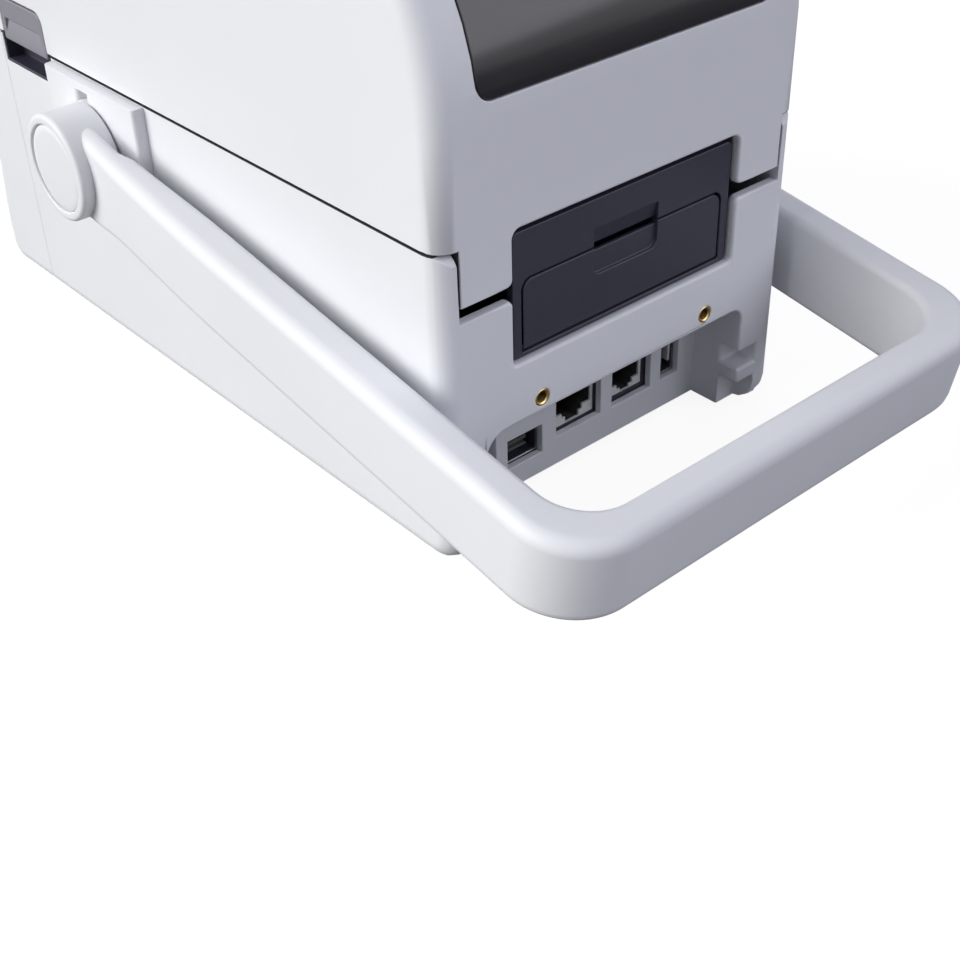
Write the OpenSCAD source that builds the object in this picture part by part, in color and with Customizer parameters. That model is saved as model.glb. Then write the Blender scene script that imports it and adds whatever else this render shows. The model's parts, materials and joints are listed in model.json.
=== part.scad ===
// Desktop label printer with a carrying bail: a white case with a hinged roll cover,
// release levers, a rear media door, a port bay, and the print unit inside.
// Millimetres. +Z is up, the front faces -Y, the right side is +X.
// The origin is the middle of the bounding box, on the surface the feet stand on.

/* [Body] */
// Width of the case
body_w = 110; // [108:1:120]
// Depth of the case at its plinth
body_d = 215; // [213:1:222]
// Height of the closed case with its feet
body_h = 172; // [168:1:186]
// Thickness of the moulded walls
wall = 2.5; // [2:0.1:2.8]
// Rounding of the long outer edges
edge_r = 5; // [4:0.5:7]
// Rounding of the two lower corners in the side view
corner_r = 7; // [3:0.5:8]
// Height of the rubber feet
foot_h = 1.5; // [1:0.1:3]
// Height of the parting line between the case and the cover
parting_z = 80.5; // [80:0.5:84]
// Width of the seam between the case and the cover
seam = 0.6; // [0.4:0.1:1]
// Height of the upright plinth at the front
plinth_h = 18; // [12:1:24]
// Lean of the front above the plinth, in degrees
front_lean = 8; // [6:0.5:9]
// Height at which the back starts to curve forward
back_curve_z = 105; // [98:1:112]
// Depth of the curve over the back
back_curve_d = 90; // [70:1:100]
// Depth of the curve over the front
front_curve_d = 52; // [40:1:60]
// Height of the curve over the front
front_curve_h = 46; // [36:1:56]
// Depth of the front bezel along the sides
bezel_d = 27.2; // [26:0.1:28]
// Height of the label exit over the parting line
exit_h = 6.5; // [6:0.1:8]
// Width of the label exit
exit_w = 66; // [64:1:72]

/* [Cover hinge] */
// Distance of the hinge axis from the back and from the parting line
hinge_in = 4.5; // [4.4:0.1:4.8]
// Radius of the hinge pins
hinge_pin_r = 1.2; // [1:0.1:1.3]
// Radius of the knuckles on the cover
knuckle_r = 2.8; // [2.5:0.1:3]
// Width of each corner post that holds a hinge pin
post_w = 5; // [4:0.5:6]
// Distance of the case's rear edge below the parting line
rear_edge_drop = 16.1; // [16:0.1:18]
// Distance of the cover's rear edge below the parting line
cover_edge_drop = 12.7; // [11:0.1:12.8]
// Radial play of pins that turn in their bores
pin_play = 0.05; // [0.03:0.01:0.08]

/* [Window] */
// Width of the smoked window
window_w = 86; // [70:1:92]
// Height of the window's lower edge on the back
window_z = 109.7; // [106:0.1:116]
// Distance of the window's front edge from the back of the case
window_back = 142; // [120:1:150]
// Corner rounding of the window
window_r = 4; // [2:0.5:6]
// Play round the window
window_play = 0.2; // [0.1:0.05:0.3]

/* [Bail] */
// Distance of the bail's pivot from the back of the case
pivot_back = 134.5; // [130:0.5:138]
// Height of the bail's pivot
pivot_z = 62; // [58:0.5:63]
// Angle of the bail below level at rest
bail_tilt = 9.5; // [6:0.5:12]
// Distance from the pivot to the outer face of the cross bar
bail_reach = 189.5; // [186:0.5:200]
// Thickness of the cross bar
bar_t = 9; // [8:0.5:9]
// Thickness of the arms
arm_t = 10; // [8:0.5:12]
// Height of the arms and the cross bar
bar_h = 22.5; // [20:0.5:24]
// Rounding of the bail's long edges
bar_round = 3.5; // [2:0.5:4]
// Radius of the bends inside the bail
bend_in_r = 12.5; // [10:0.5:16]
// Radius of the bends outside the bail
bend_out_r = 17; // [14:0.5:24]
// Radius of the hub discs
hub_r = 14; // [13:0.5:15]
// Distance that a hub stands proud of its arm
hub_proud = 2; // [1.5:0.1:4]
// Radius of the hub caps
cap_r = 11.4; // [10:0.1:11.6]
// Thickness of the hub caps
cap_t = 2; // [1.5:0.1:2.5]
// Thickness of the pads that carry the hubs
pad_t = 3.4; // [3:0.1:4]
// Play between a pad and its hub
hub_play = 0.6; // [0.5:0.1:0.8]
// Radius of the pivot axles
axle_r = 4; // [3.5:0.1:4.5]

/* [Release levers] */
// Distance of the levers' middle from the front of the case
lever_front = 42; // [41:0.5:44]
// Length of each lever along the case
lever_w = 24; // [22:0.5:25]
// Height of each lever
lever_h = 11.8; // [11:0.1:13]
// Distance that a lever hangs below the parting line
lever_drop = 1.3; // [1:0.1:1.6]
// Height of the finger recess below the parting line
finger_h = 7.2; // [6.5:0.1:8]
// Depth of the finger recess
finger_d = 5; // [4.5:0.1:5]
// Rounding of the levers' upper corners
lever_r = 3; // [1:0.5:4]

/* [Rear door] */
// Width of the black door frame
frame_w = 68; // [64:1:70]
// Height of the frame's lower edge
frame_z = 48.4; // [46:0.1:49]
// Width of the door flap
flap_w = 62; // [56:1:63]
// Height of the door flap
flap_h = 17.1; // [15:0.1:17.5]
// Thickness of the frame and the flap
flap_t = 2; // [1.8:0.1:2.2]
// Distance of the frame behind the back of the case
frame_in = 1.5; // [1.4:0.1:1.7]
// Width of the finger grip on the flap
grip_w = 20; // [16:1:26]
// Rounding of the frame's upper corners
door_r = 1.6; // [1:0.1:2.6]
// Rounding of the flap's upper corners
flap_r = 2.8; // [1:0.1:3]

/* [Port bay] */
// Width of the port bay to the left of the middle, seen from the front
bay_left = 41; // [39:0.5:41]
// Width of the port bay to the right of the middle
bay_right = 43.5; // [42.5:0.5:44]
// Height of the port bay's roof
bay_z = 33; // [30:0.5:34]
// Depth of the port bay
bay_d = 15.2; // [14:0.1:16]
// Depth of the pocket behind the power inlet, past the bay
pocket_d = 15; // [12:0.5:16]
// Distance between the two brass inserts
insert_pitch = 53.6; // [48:0.1:56]
// Height of the brass inserts
insert_z = 36.6; // [36.6:0.1:38]
// Radius of the threaded hole in each insert
insert_bore_r = 1.25; // [1:0.05:1.6]
// Outer radius of each insert
insert_r = 2.2; // [2:0.1:2.8]
// Length of each insert
insert_l = 6; // [5:0.5:8]

/* [Print unit] */
// Length of the platen roller
platen_l = 66; // [60:1:70]
// Radius of the platen roller
platen_r = 7.5; // [7:0.1:7.8]
// Radius of the platen shaft
shaft_r = 3; // [2.5:0.1:3.2]
// Distance of the platen axis from the front of the case
platen_front = 28.4; // [28:0.1:29]
// Height of the platen's top over the parting line
platen_over = 1; // [0.5:0.1:1.2]
// Gear module
gear_m = 0.8; // [0.8:0.01:0.8]
// Thickness of the gears
gear_t = 3; // [2.5:0.1:3]
// Height of the print head above the platen
head_gap = 0.2; // [0.15:0.05:0.3]

/* [Roll bay] */
// Radius of the room for a label roll
roll_r = 66; // [62:0.5:66]
// Widest media between the guides
media_w = 63.5; // [60:0.5:66]
// Inward travel of each guide
guide_travel = 22; // [16:0.5:22]

/* [Controls] */
// Width of the control panel
panel_w = 76; // [70:1:80]
// Height of the control panel
panel_h = 26; // [24:1:27]
// Radius of the push buttons
button_r = 5; // [4.5:0.1:5.5]
// Distance between the buttons
button_pitch = 24; // [20:1:26]
// Distance that a button stands proud
button_proud = 1.2; // [1.1:0.1:1.5]

/* [Hidden] */
$fn = 48;
eps = 0.01;
gap = 0.3;
half_w = body_w / 2;
in_x = half_w - wall;

// The bounding box reaches from the plinth to the bail's cross bar.
bail_far = (bail_reach - bar_round) * cos(bail_tilt) + (bar_h / 2 - bar_round) * sin(bail_tilt) + bar_round;
front_y = -(body_d - pivot_back + bail_far) / 2;
rear_y = front_y + body_d;
pivot_y = rear_y - pivot_back;
bezel_y = front_y + bezel_d;
cover_z = parting_z + seam;
floor_z = foot_h + wall;

hinge_y = rear_y - hinge_in;
hinge_z = parting_z - hinge_in;
// Radii of what the cover's lower strip sweeps inside the case, of the reliefs over the posts, and of the posts' corners.
sweep_r = norm([hinge_in, cover_edge_drop - hinge_in]) + 0.4;
relief_r = hinge_in + seam + 0.2;
post_r = hinge_in + 0.3;
post_x = half_w - post_w;

function front_at(z) = front_y + max(0, z - plinth_h) * tan(front_lean);
function arc(y, z, ry, rz, from, to, steps) =
    [for (i = [0:steps]) let (a = from + (to - from) * i / steps) [y + ry * cos(a), z + rz * sin(a)]];

front_top_z = body_h - front_curve_h;
outline = concat(
    arc(rear_y - corner_r, foot_h + corner_r, corner_r, corner_r, -90, 0, 4),
    arc(rear_y - back_curve_d, back_curve_z, back_curve_d, body_h - back_curve_z, 0, 90, 16),
    arc(front_at(front_top_z) + front_curve_d, front_top_z, front_curve_d, front_curve_h, 90, 172, 10),
    [[front_y, plinth_h]],
    arc(front_y + corner_r, foot_h + corner_r, corner_r, corner_r, 180, 270, 4));

white = [0.90, 0.91, 0.94];
black = [0.13, 0.13, 0.15];
smoke = [0.24, 0.24, 0.26];
grey = [0.57, 0.56, 0.60];
steel = [0.72, 0.73, 0.75];
brass = [0.80, 0.62, 0.28];

// A block between two corners.
module block(x0, x1, y0, y1, z0, z1) {
    translate([x0, y0, z0]) cube([x1 - x0, y1 - y0, z1 - z0]);
}

// Rods along each axis, from one end to the other.
module rod_x(x0, x1, y, z, r) { translate([x0, y, z]) rotate([0, 90, 0]) cylinder(h = x1 - x0, r = r); }
module rod_y(y0, y1, x, z, r) { translate([x, y0, z]) rotate([-90, 0, 0]) cylinder(h = y1 - y0, r = r); }
module rod_z(z0, z1, x, y, r) { translate([x, y, z0]) cylinder(h = z1 - z0, r = r); }

// A side view (Y, Z) drawn as a slab from x0 to x1.
module slab(x0, x1) { translate([x0, 0, 0]) rotate([90, 0, 90]) linear_extrude(x1 - x0) children(); }

// A front view (X, Z) drawn as a slab from y0 to y1.
module slab_y(y0, y1) { translate([0, y1, 0]) rotate([90, 0, 0]) linear_extrude(y1 - y0) children(); }

// A rectangle with round corners: r0 at the lower ones, r1 at the upper ones.
module round_face(u0, u1, v0, v1, r0, r1)
    hull() {
        for (u = [u0 + r0, u1 - r0]) translate([u, v0 + r0]) circle(r = r0);
        for (u = [u0 + r1, u1 - r1]) translate([u, v1 - r1]) circle(r = r1);
    }

// The sliver outside a round corner at [u, v], whose material lies towards su and sv.
module corner_sliver(u, v, su, sv, r)
    difference() {
        translate([su > 0 ? u - eps : u - r, sv > 0 ? v - eps : v - r]) square(r + eps);
        translate([u + su * r, v + sv * r]) circle(r = r);
    }

// The children on the right side, or mirrored to the left.
module side(s) { if (s > 0) children(); else mirror([1, 0, 0]) children(); }

// The whole closed case, drawn in by inset, with rounded long edges.
module body_form(inset) {
    r = edge_r - inset;
    hull() for (a = [0:15:90]) {
        x = half_w - edge_r + r * sin(a);
        slab(-x, x) offset(delta = -inset - r * (1 - cos(a))) polygon(outline);
    }
}

module case_shell() {
    difference() {
        body_form(0);
        body_form(wall);
    }
}

// Case

lever_y = front_y + lever_front;
pocket_y = rear_y - bay_d - pocket_d;
pocket_x = 28;
pocket_z = 24;
bay_y = rear_y - bay_d;
bay_wall = 2;
frame_top = parting_z - 1.7;
edge_z = parting_z - rear_edge_drop;
notch_x = frame_w / 2 + 1;
edge_corner_r = 1.6;
cup_t = 0.8;
pad_y0 = pivot_y - 22.5;
pad_y1 = pivot_y + 22.5;
nut_r = 7;
base_x = 47;
base_y1 = rear_y - bay_d - pocket_d - 4;

// Port openings in the bay's back wall: middle X, low Z, width, height.
usb_b_port = [18.6, 7.4, 11.2, 8.1];
lan_port = [0.6, 9.6, 15.2, 12];
serial_port = [-18, 9.6, 13.8, 12];
usb_a_port = [-32, 10.1, 6.4, 13.4];

module port_hole(p, y0, y1, play = 0) {
    block(p[0] - p[2] / 2 - play, p[0] + p[2] / 2 + play, y0, y1, p[1] - play, p[1] + p[3] + play);
}

// The room of the port bay, with round upper corners.
module bay_room()
    slab_y(bay_y, rear_y + 1) hull() {
        translate([-bay_left, 0]) square([bay_left + bay_right, 1]);
        translate([-bay_left + 4, bay_z - 4]) circle(r = 4);
        translate([bay_right - 6, bay_z - 6]) circle(r = 6);
    }

// Two hooks for cords in the corner of the leg: their depth and width, and the heights of each. The lower one is open.
cord_d = 6.2;
cord_w = 6.5;
cord_spans = [[0, 10.4], [14.8, 19.8]];
module cord_notches()
    for (h = cord_spans) block(-bay_left - cord_w, -bay_left + 1, rear_y - cord_d, rear_y + 1, h[0], h[1]);

module bay_walls() {
    y0 = bay_y - bay_wall;
    top = bay_z + bay_wall;
    difference() {
        union() {
            slab(-bay_left - bay_wall, bay_right + bay_wall)
                intersection() {
                    polygon(outline);
                    translate([y0, 0]) square([bay_d + bay_wall, top]);
                }
            block(pocket_x - bay_wall, bay_right + bay_wall, pocket_y - bay_wall, bay_y, foot_h, pocket_z + bay_wall);
            block(-post_x, -bay_left, rear_y - 12, rear_y - wall / 2, floor_z - eps, top);
        }
        bay_room();
        block(pocket_x, bay_right, pocket_y, bay_y + eps, 0, pocket_z);
        for (p = [usb_b_port, lan_port, serial_port, usb_a_port]) port_hole(p, y0 - 1, bay_y + 1);
        rod_y(pocket_y - bay_wall - 1, pocket_y + 1, (pocket_x + bay_right) / 2, dc_z, dc_r + 1.2);
        cord_notches();
    }
}

dc_r = 3.2;
dc_z = 12;

module hinge_posts() {
    for (s = [-1, 1]) side(s)
        block(post_x, in_x + eps, hinge_y - hinge_in, rear_y - wall + eps, edge_z - 12, parting_z);
}

// What is cut from the posts, so that the cover can swing over their upper corners.
module post_corners() {
    for (s = [-1, 1]) side(s) difference() {
        block(post_x - eps, half_w + 1, hinge_y, rear_y + 1, hinge_z, parting_z + 1);
        rod_x(post_x - 1, half_w + 2, hinge_y, hinge_z, post_r);
    }
}

module lower_case() color(white) {
    difference() {
        union() {
            intersection() {
                case_shell();
                block(-half_w, half_w, bezel_y, rear_y, 0, parting_z);
            }
            bay_walls();
            hinge_posts();
        }
        bay_room();
        cord_notches();
        block(pocket_x, bay_right, pocket_y, bay_y + eps, 0, pocket_z);
        // The bottom opening for the base plate.
        block(-base_x - gap, base_x + gap, bezel_y - 1, base_y1 + gap, 0, floor_z + 1);
        // The low rear edge between the hinge posts.
        block(-post_x, post_x, rear_y - wall - 6, rear_y + 1, edge_z, parting_z + 1);
        rod_x(-half_w + 1.5, half_w - 1.5, hinge_y, hinge_z, hinge_pin_r);
        post_corners();
        // The black frame's place in the back.
        slab_y(rear_y - wall - 3, rear_y + 1) {
            round_face(-notch_x, notch_x, frame_z - gap, parting_z, 1, 1);
            for (s = [-1, 1]) corner_sliver(s * notch_x, edge_z, s, -1, edge_corner_r);
        }
        for (x = [-1, 1]) rod_y(rear_y - insert_l, rear_y + 1, x * insert_pitch / 2, insert_z, insert_r);
        for (s = [-1, 1]) side(s) {
            finger_room(cup_t, 1);
            rod_x(in_x - 1, half_w + 1, pivot_y, pivot_z, axle_r + pin_play);
        }
    }
    insert_bosses();
}

// The room of a finger recess, wider by t all round, open outwards and at the top by out.
module finger_room(t, out)
    block(half_w - finger_d - t, half_w + out, lever_y - lever_w / 2 - 1 - t, lever_y + lever_w / 2 + 1 + t,
        parting_z - finger_h - t, parting_z + out);

// Black cups that line the finger recesses.
module finger_cups() color(black)
    for (s = [-1, 1]) side(s)
        difference() {
            finger_room(cup_t, -0.2);
            finger_room(0, 1);
        }

module insert_bosses() {
    for (x = [-1, 1])
        difference() {
            rod_y(rear_y - insert_l, rear_y - wall, x * insert_pitch / 2, insert_z, insert_r + 1.2);
            rod_y(rear_y - insert_l - 1, rear_y, x * insert_pitch / 2, insert_z, insert_r);
        }
}

// Local frame of the control panel: Y is inward, Z up the sloping front.
panel_z = 60;
module on_front() translate([0, front_at(panel_z), panel_z]) rotate([-front_lean, 0, 0]) children();

panel_t = 1.6;
button_xs = [-button_pitch, 0, button_pitch];
lens_r = 1.3;
lens_xs = [-button_pitch / 2, button_pitch / 2];
shelf_d = 14.4;

module front_bezel() color(white) {
    difference() {
        intersection() {
            case_shell();
            block(-half_w, half_w, front_y - 1, bezel_y - eps, 0, parting_z);
        }
        on_front() block(-panel_w / 2 - gap / 2, panel_w / 2 + gap / 2, -3, panel_t + 0.2, -panel_h / 2 - gap / 2,
            panel_h / 2 + gap / 2);
        on_front() for (x = button_xs) rod_y(-1, 6, x, 0, button_r + gap);
        on_front() for (x = lens_xs) rod_y(-1, 6, x, 0, lens_r + 0.1);
        for (x = foot_xs) rod_z(0, foot_h + 0.5, x, foot_ys[0], foot_r + 0.1);
    }
    // The shelf that the labels leave over, and the posts that carry the control board.
    difference() {
        block(-in_x, in_x, front_at(parting_z) + wall / 2, front_y + shelf_d, parting_z - wall, parting_z);
        block(-tear_w / 2, tear_w / 2, front_y + shelf_d - tear_d, front_y + shelf_d + 1, parting_z - 1, parting_z + 1);
    }
    on_front() for (x = [-1, 1]) rod_y(wall - 0.2, board_at, x * (control_x - 4), -panel_h / 2 + 4, 2.5);
}

control_x = button_pitch + 13;
tear_w = 64;
tear_d = 3;
board_at = 9.2;

foot_r = 6;
foot_xs = [-41, 41];
foot_ys = [front_y + 15.4, base_y1 - 8];

module base_plate() color(black) {
    difference() {
        block(-base_x, base_x, bezel_y + gap, base_y1, foot_h, floor_z);
        for (x = foot_xs) rod_z(0, foot_h + 0.5, x, foot_ys[1], foot_r + 0.1);
        for (p = screw_places) rod_z(0, floor_z + 1, p[0], p[1], screw_r);
        for (p = screw_places) rod_z(0, foot_h + 1.2, p[0], p[1], screw_head_r);
    }
}

screw_r = 1.5;
screw_head_r = 2.8;
screw_places = [for (x = [-38, 38], y = [bezel_y + 12, base_y1 - 22]) [x, y]];

module rubber_feet() color([0.2, 0.2, 0.21])
    for (x = foot_xs, y = foot_ys) {
        rod_z(0.6, foot_h + 0.5, x, y, foot_r);
        translate([x, y, 0]) cylinder(h = 0.6, r1 = foot_r - 0.6, r2 = foot_r);
    }

module base_screws() color(steel)
    for (p = screw_places) difference() {
        union() {
            rod_z(foot_h + 0.2, foot_h + 1.2, p[0], p[1], screw_head_r - 0.1);
            rod_z(foot_h + 1.2, floor_z, p[0], p[1], screw_r);
        }
        for (a = [0, 90]) translate([p[0], p[1], foot_h]) rotate([0, 0, a])
            translate([-1.6, -0.35, 0]) cube([3.2, 0.7, 0.8]);
    }

// Port bay electronics

board_z0 = floor_z + 1.5;
board_t = 1.6;
board_top = board_z0 + board_t;
board_rear = bay_y - bay_wall - 0.5;
// Distance of the board's front edge from the front of the case.
board_back = 86;
board_front = front_y + board_back;
board_x = 44;

module main_board() color([0.10, 0.35, 0.22]) {
    difference() {
        block(-board_x, board_x, board_front, board_rear, board_z0, board_z0 + board_t);
        block(pocket_x - bay_wall - 0.5, board_x + 1, pocket_y - bay_wall - 0.5, board_rear + 1, 0, board_top + 1);
    }
    // Chips and capacitors soldered on the board.
    block(-12, 4, -28, -12, board_top, board_top + 1.6);
    block(14, 24, -30, -20, board_top, board_top + 1.4);
    block(-36, -26, -20, -12, board_top, board_top + 3);
    for (x = [30, 38]) rod_z(board_top, board_top + 11, x, -36, 3.5);
}

module board_standoffs() color(brass)
    for (x = [-board_x + 4, board_x - 4], y = [board_front + 4, base_y1 - 6]) rod_z(floor_z, board_z0, x, y, 2.6);

// A jack: a metal can with an opening and a contact block.
module jack(p, depth) {
    x0 = p[0] - p[2] / 2 - 0.8;
    x1 = p[0] + p[2] / 2 + 0.8;
    top = p[1] + p[3] + 0.8;
    difference() {
        block(x0, x1, board_rear - depth, board_rear + 0.3, board_top, top);
        port_hole(p, board_rear - depth + 3, board_rear + 1, -0.2);
    }
}

module usb_b_socket() color(steel) {
    jack(usb_b_port, 16);
    p = usb_b_port;
    block(p[0] - 2.8, p[0] + 2.8, board_rear - 14, board_rear - 2, p[1] + 2.4, p[1] + 5.4);
}

module lan_socket() color(steel) {
    jack(lan_port, 18);
    stepped_frame(lan_port);
}

module serial_socket() color(steel) {
    jack(serial_port, 18);
    stepped_frame(serial_port);
}

// The pale plastic steps at the sides of a modular jack, below its latch slot.
module stepped_frame(p) {
    for (s = [-1, 1], i = [0:1]) {
        x = p[0] + s * (p[2] / 2 - 1.2 - i * 1.4);
        block(x - 1.05, x + 1.05, board_rear - 15, board_rear - 0.4, p[1] + 0.2, p[1] + 3.6 - i * 1.6);
    }
    block(p[0] - p[2] / 2 + 2, p[0] + p[2] / 2 - 2, board_rear - 15.2, board_rear - 10, p[1] + p[3] - 3.2, p[1] + p[3] - 0.2);
}

module usb_a_socket() color(steel) {
    jack(usb_a_port, 15);
    p = usb_a_port;
    block(p[0] - 1, p[0] + 1, board_rear - 12.1, board_rear - 2, p[1] + 1.5, p[1] + p[3] - 1.5);
}

module dc_inlet() color(black) {
    x = (pocket_x + bay_right) / 2;
    y1 = pocket_y - bay_wall - 0.1;
    difference() {
        union() {
            block(x - 5.5, x + 5.5, y1 - 14, y1, board_top, dc_z + 5.5);
            rod_y(y1 - 1, pocket_y - 0.3, x, dc_z, dc_r + 1);
        }
        rod_y(y1 - 10, pocket_y + 1, x, dc_z, dc_r);
    }
    rod_y(y1 - 10.1, y1, x, dc_z, 1);
}

module brass_insert(x) color(brass)
    difference() {
        rod_y(rear_y - insert_l, rear_y - 0.1, x, insert_z, insert_r);
        rod_y(rear_y - insert_l - 1, rear_y + 1, x, insert_z, insert_bore_r);
    }

module insert_left() brass_insert(-insert_pitch / 2);
module insert_right() brass_insert(insert_pitch / 2);

// Rear door

frame_y1 = rear_y - frame_in;
frame_y0 = frame_y1 - flap_t;
flap_z0 = frame_z + 1.4;
flap_z1 = flap_z0 + flap_h;
flap_y = frame_y1 - flap_t / 2;
flap_axis_z = flap_z0 + flap_t / 2;
flap_pin_r = 0.7;
flap_play = 0.5;

module door_frame() color(black) {
    difference() {
        union() {
            slab_y(frame_y0, frame_y1) round_face(-frame_w / 2, frame_w / 2, frame_z, frame_top, 1, door_r);
            // The flange behind the case's rear wall.
            block(-frame_w / 2 - 2, frame_w / 2 + 2, frame_y0 - 1.2, frame_y0, frame_z - 2, edge_z - 1.6);
            // Ears that hold the flap's stub pins.
            for (s = [-1, 1]) side(s)
                block(flap_w / 2 + flap_play, frame_w / 2, frame_y0 - 1.2, frame_y1, flap_z0 - 1, flap_z0 + 3);
        }
        slab_y(frame_y0 - 2, frame_y1 + 1)
            round_face(-flap_w / 2 - flap_play, flap_w / 2 + flap_play, flap_z0 - gap, flap_z1 + flap_play, 0.3, flap_r);
        rod_x(-flap_w / 2 - 2, flap_w / 2 + 2, flap_y, flap_axis_z, flap_pin_r + pin_play);
        // The upper half of the finger grip.
        slab(-grip_w / 2, grip_w / 2) polygon([
            [frame_y1 + 1, flap_z1 - 1], [frame_y1 - 1.5, flap_z1 - 1], [frame_y1 - 1.5, flap_z1 + flap_play + 0.2],
            [frame_y1 - 0.5, flap_z1 + 4.6], [frame_y1 + 1, flap_z1 + 5]]);
    }
}

module rear_door() color(black) {
    difference() {
        union() {
            slab_y(frame_y0, frame_y1) difference() {
                round_face(-flap_w / 2, flap_w / 2, flap_z0, flap_z1, 0.3, flap_r);
                translate([-flap_w, flap_z0 - 1]) square([2 * flap_w, 1 + flap_t / 2]);
            }
            rod_x(-flap_w / 2, flap_w / 2, flap_y, flap_axis_z, flap_t / 2);
            rod_x(-flap_w / 2 - 1.8, flap_w / 2 + 1.8, flap_y, flap_axis_z, flap_pin_r);
        }
        // The lower half of the finger grip.
        slab_y(frame_y1 - 0.9, frame_y1 + 1) round_face(-grip_w / 2, grip_w / 2, flap_z1 - 6.5, flap_z1 + 1, 2, 0.5);
        block(-grip_w / 2, grip_w / 2, frame_y0 - 1, frame_y1 + 1, flap_z1 - 0.9, flap_z1 + 1);
    }
}

// Print unit

platen_y = front_y + platen_front;
platen_z = parting_z + platen_over - platen_r;
plate_x = 43.5;
plate_t = 1.5;
bush_r = 5;
head_z = platen_z + platen_r + head_gap;
gear_x = -(plate_x + plate_t + 0.6);
platen_teeth = 30;
idler_teeth = 28;
pinion_teeth = 14;

// The three gear axes lie on one line, from the platen down to the motor.
train_dir = -58.3;
function train(d) = [platen_y + d * cos(train_dir), platen_z + d * sin(train_dir)];
idler_at = train(gear_m * (platen_teeth + idler_teeth) / 2);
motor_at = train(gear_m * (platen_teeth / 2 + idler_teeth + pinion_teeth / 2));
motor_r = 17.5;
motor_l = 20;
motor_hole_r = 5;

// Involute points on one flank, from the base circle to the tip.
pressure = 20;
function involute(rb, r) =
    let (t = sqrt(max(0, pow(r / rb, 2) - 1)))
    [r, t * 180 / PI - atan(t)];

module gear_face(teeth, play = 0.12) {
    rp = gear_m * teeth / 2;
    rb = rp * cos(pressure);
    ra = rp + 0.9 * gear_m;
    rf = rp - 1.25 * gear_m;
    r0 = max(rb, rf);
    half = 90 / teeth - play / rp * 90 / PI + involute(rb, rp)[1];
    flank = [for (i = [0:4]) involute(rb, r0 + (ra - r0) * i / 4)];
    polygon([for (k = [0:teeth - 1]) let (c = 360 * k / teeth) each concat(
        [[rf * cos(c - half), rf * sin(c - half)]],
        [for (i = [0:4]) let (p = flank[i]) [p[0] * cos(c - half + p[1]), p[0] * sin(c - half + p[1])]],
        [for (i = [4:-1:0]) let (p = flank[i]) [p[0] * cos(c + half - p[1]), p[0] * sin(c + half - p[1])]],
        [[rf * cos(c + half), rf * sin(c + half)]])]);
}

// A gear on an X axis at [y, z], turned by phase degrees.
module gear_on_x(at, teeth, bore, phase) {
    difference() {
        translate([0, at[0], at[1]]) rotate([phase, 0, 0]) slab(gear_x - gear_t, gear_x) gear_face(teeth);
        rod_x(gear_x - gear_t - 1, gear_x + 1, at[0], at[1], bore);
    }
}

module platen_gear() color([0.93, 0.93, 0.9]) gear_on_x([platen_y, platen_z], platen_teeth, shaft_r, train_dir);
module idler_gear() color([0.93, 0.93, 0.9])
    gear_on_x(idler_at, idler_teeth, axle_pin_r + pin_play, train_dir + 180 + 180 / idler_teeth);

axle_pin_r = 1.5;

module motor_pinion() color(brass) {
    gear_on_x(motor_at, pinion_teeth, axle_pin_r, train_dir + 180);
    rod_x(gear_x - gear_t, -plate_x + 5, motor_at[0], motor_at[1], axle_pin_r);
}

module idler_axle() color(steel) {
    rod_x(gear_x - gear_t - 0.4, -plate_x - plate_t, idler_at[0], idler_at[1], axle_pin_r);
    rod_x(gear_x - gear_t - 1.4, gear_x - gear_t - 0.4, idler_at[0], idler_at[1], axle_pin_r + 1);
}

module stepper_motor() color(steel)
    difference() {
        union() {
            rod_x(-plate_x, -plate_x + motor_l, motor_at[0], motor_at[1], motor_r);
            block(-plate_x, -plate_x + 1, motor_at[0] - 4, motor_at[0] + 4, motor_at[1] - 24, motor_at[1] + 24);
        }
        rod_x(-plate_x - 1, -plate_x + 5.5, motor_at[0], motor_at[1], axle_pin_r + 2);
    }

// Folded steel side plates that hold the platen.
module side_plate() {
    difference() {
        slab(plate_x, plate_x + plate_t) polygon([
            [front_y + 16.5, 38], [front_y + 24, floor_z + 8], [front_y + 24, floor_z], [front_y + 70, floor_z],
            [front_y + 74, floor_z + 30], [front_y + 74, parting_z - 8], [platen_y + 14, parting_z + 3.5],
            [front_y + 16.5, parting_z + 3.5]]);
        rod_x(plate_x - 1, plate_x + plate_t + 1, platen_y, platen_z, bush_r);
    }
}

module plate_right() color(steel) side_plate();

module plate_left() color(steel)
    difference() {
        mirror([1, 0, 0]) side_plate();
        rod_x(-plate_x - plate_t - 1, -plate_x + 1, motor_at[0], motor_at[1], motor_hole_r);
    }

module platen_bushes() color([0.85, 0.83, 0.75])
    for (s = [-1, 1]) side(s)
        difference() {
            union() {
                rod_x(plate_x - 1.2, plate_x + plate_t + 0.3, platen_y, platen_z, bush_r);
                rod_x(plate_x - 1.2, plate_x, platen_y, platen_z, bush_r + 1);
            }
            rod_x(plate_x - 3, plate_x + 5, platen_y, platen_z, shaft_r + pin_play);
        }

module platen_shaft() color(steel) rod_x(gear_x - gear_t - 0.2, plate_x + plate_t + 1.5, platen_y, platen_z, shaft_r);

module platen_roller() color([0.16, 0.16, 0.17])
    difference() {
        rod_x(-platen_l / 2, platen_l / 2, platen_y, platen_z, platen_r);
        rod_x(-platen_l, platen_l, platen_y, platen_z, shaft_r);
    }

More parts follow.
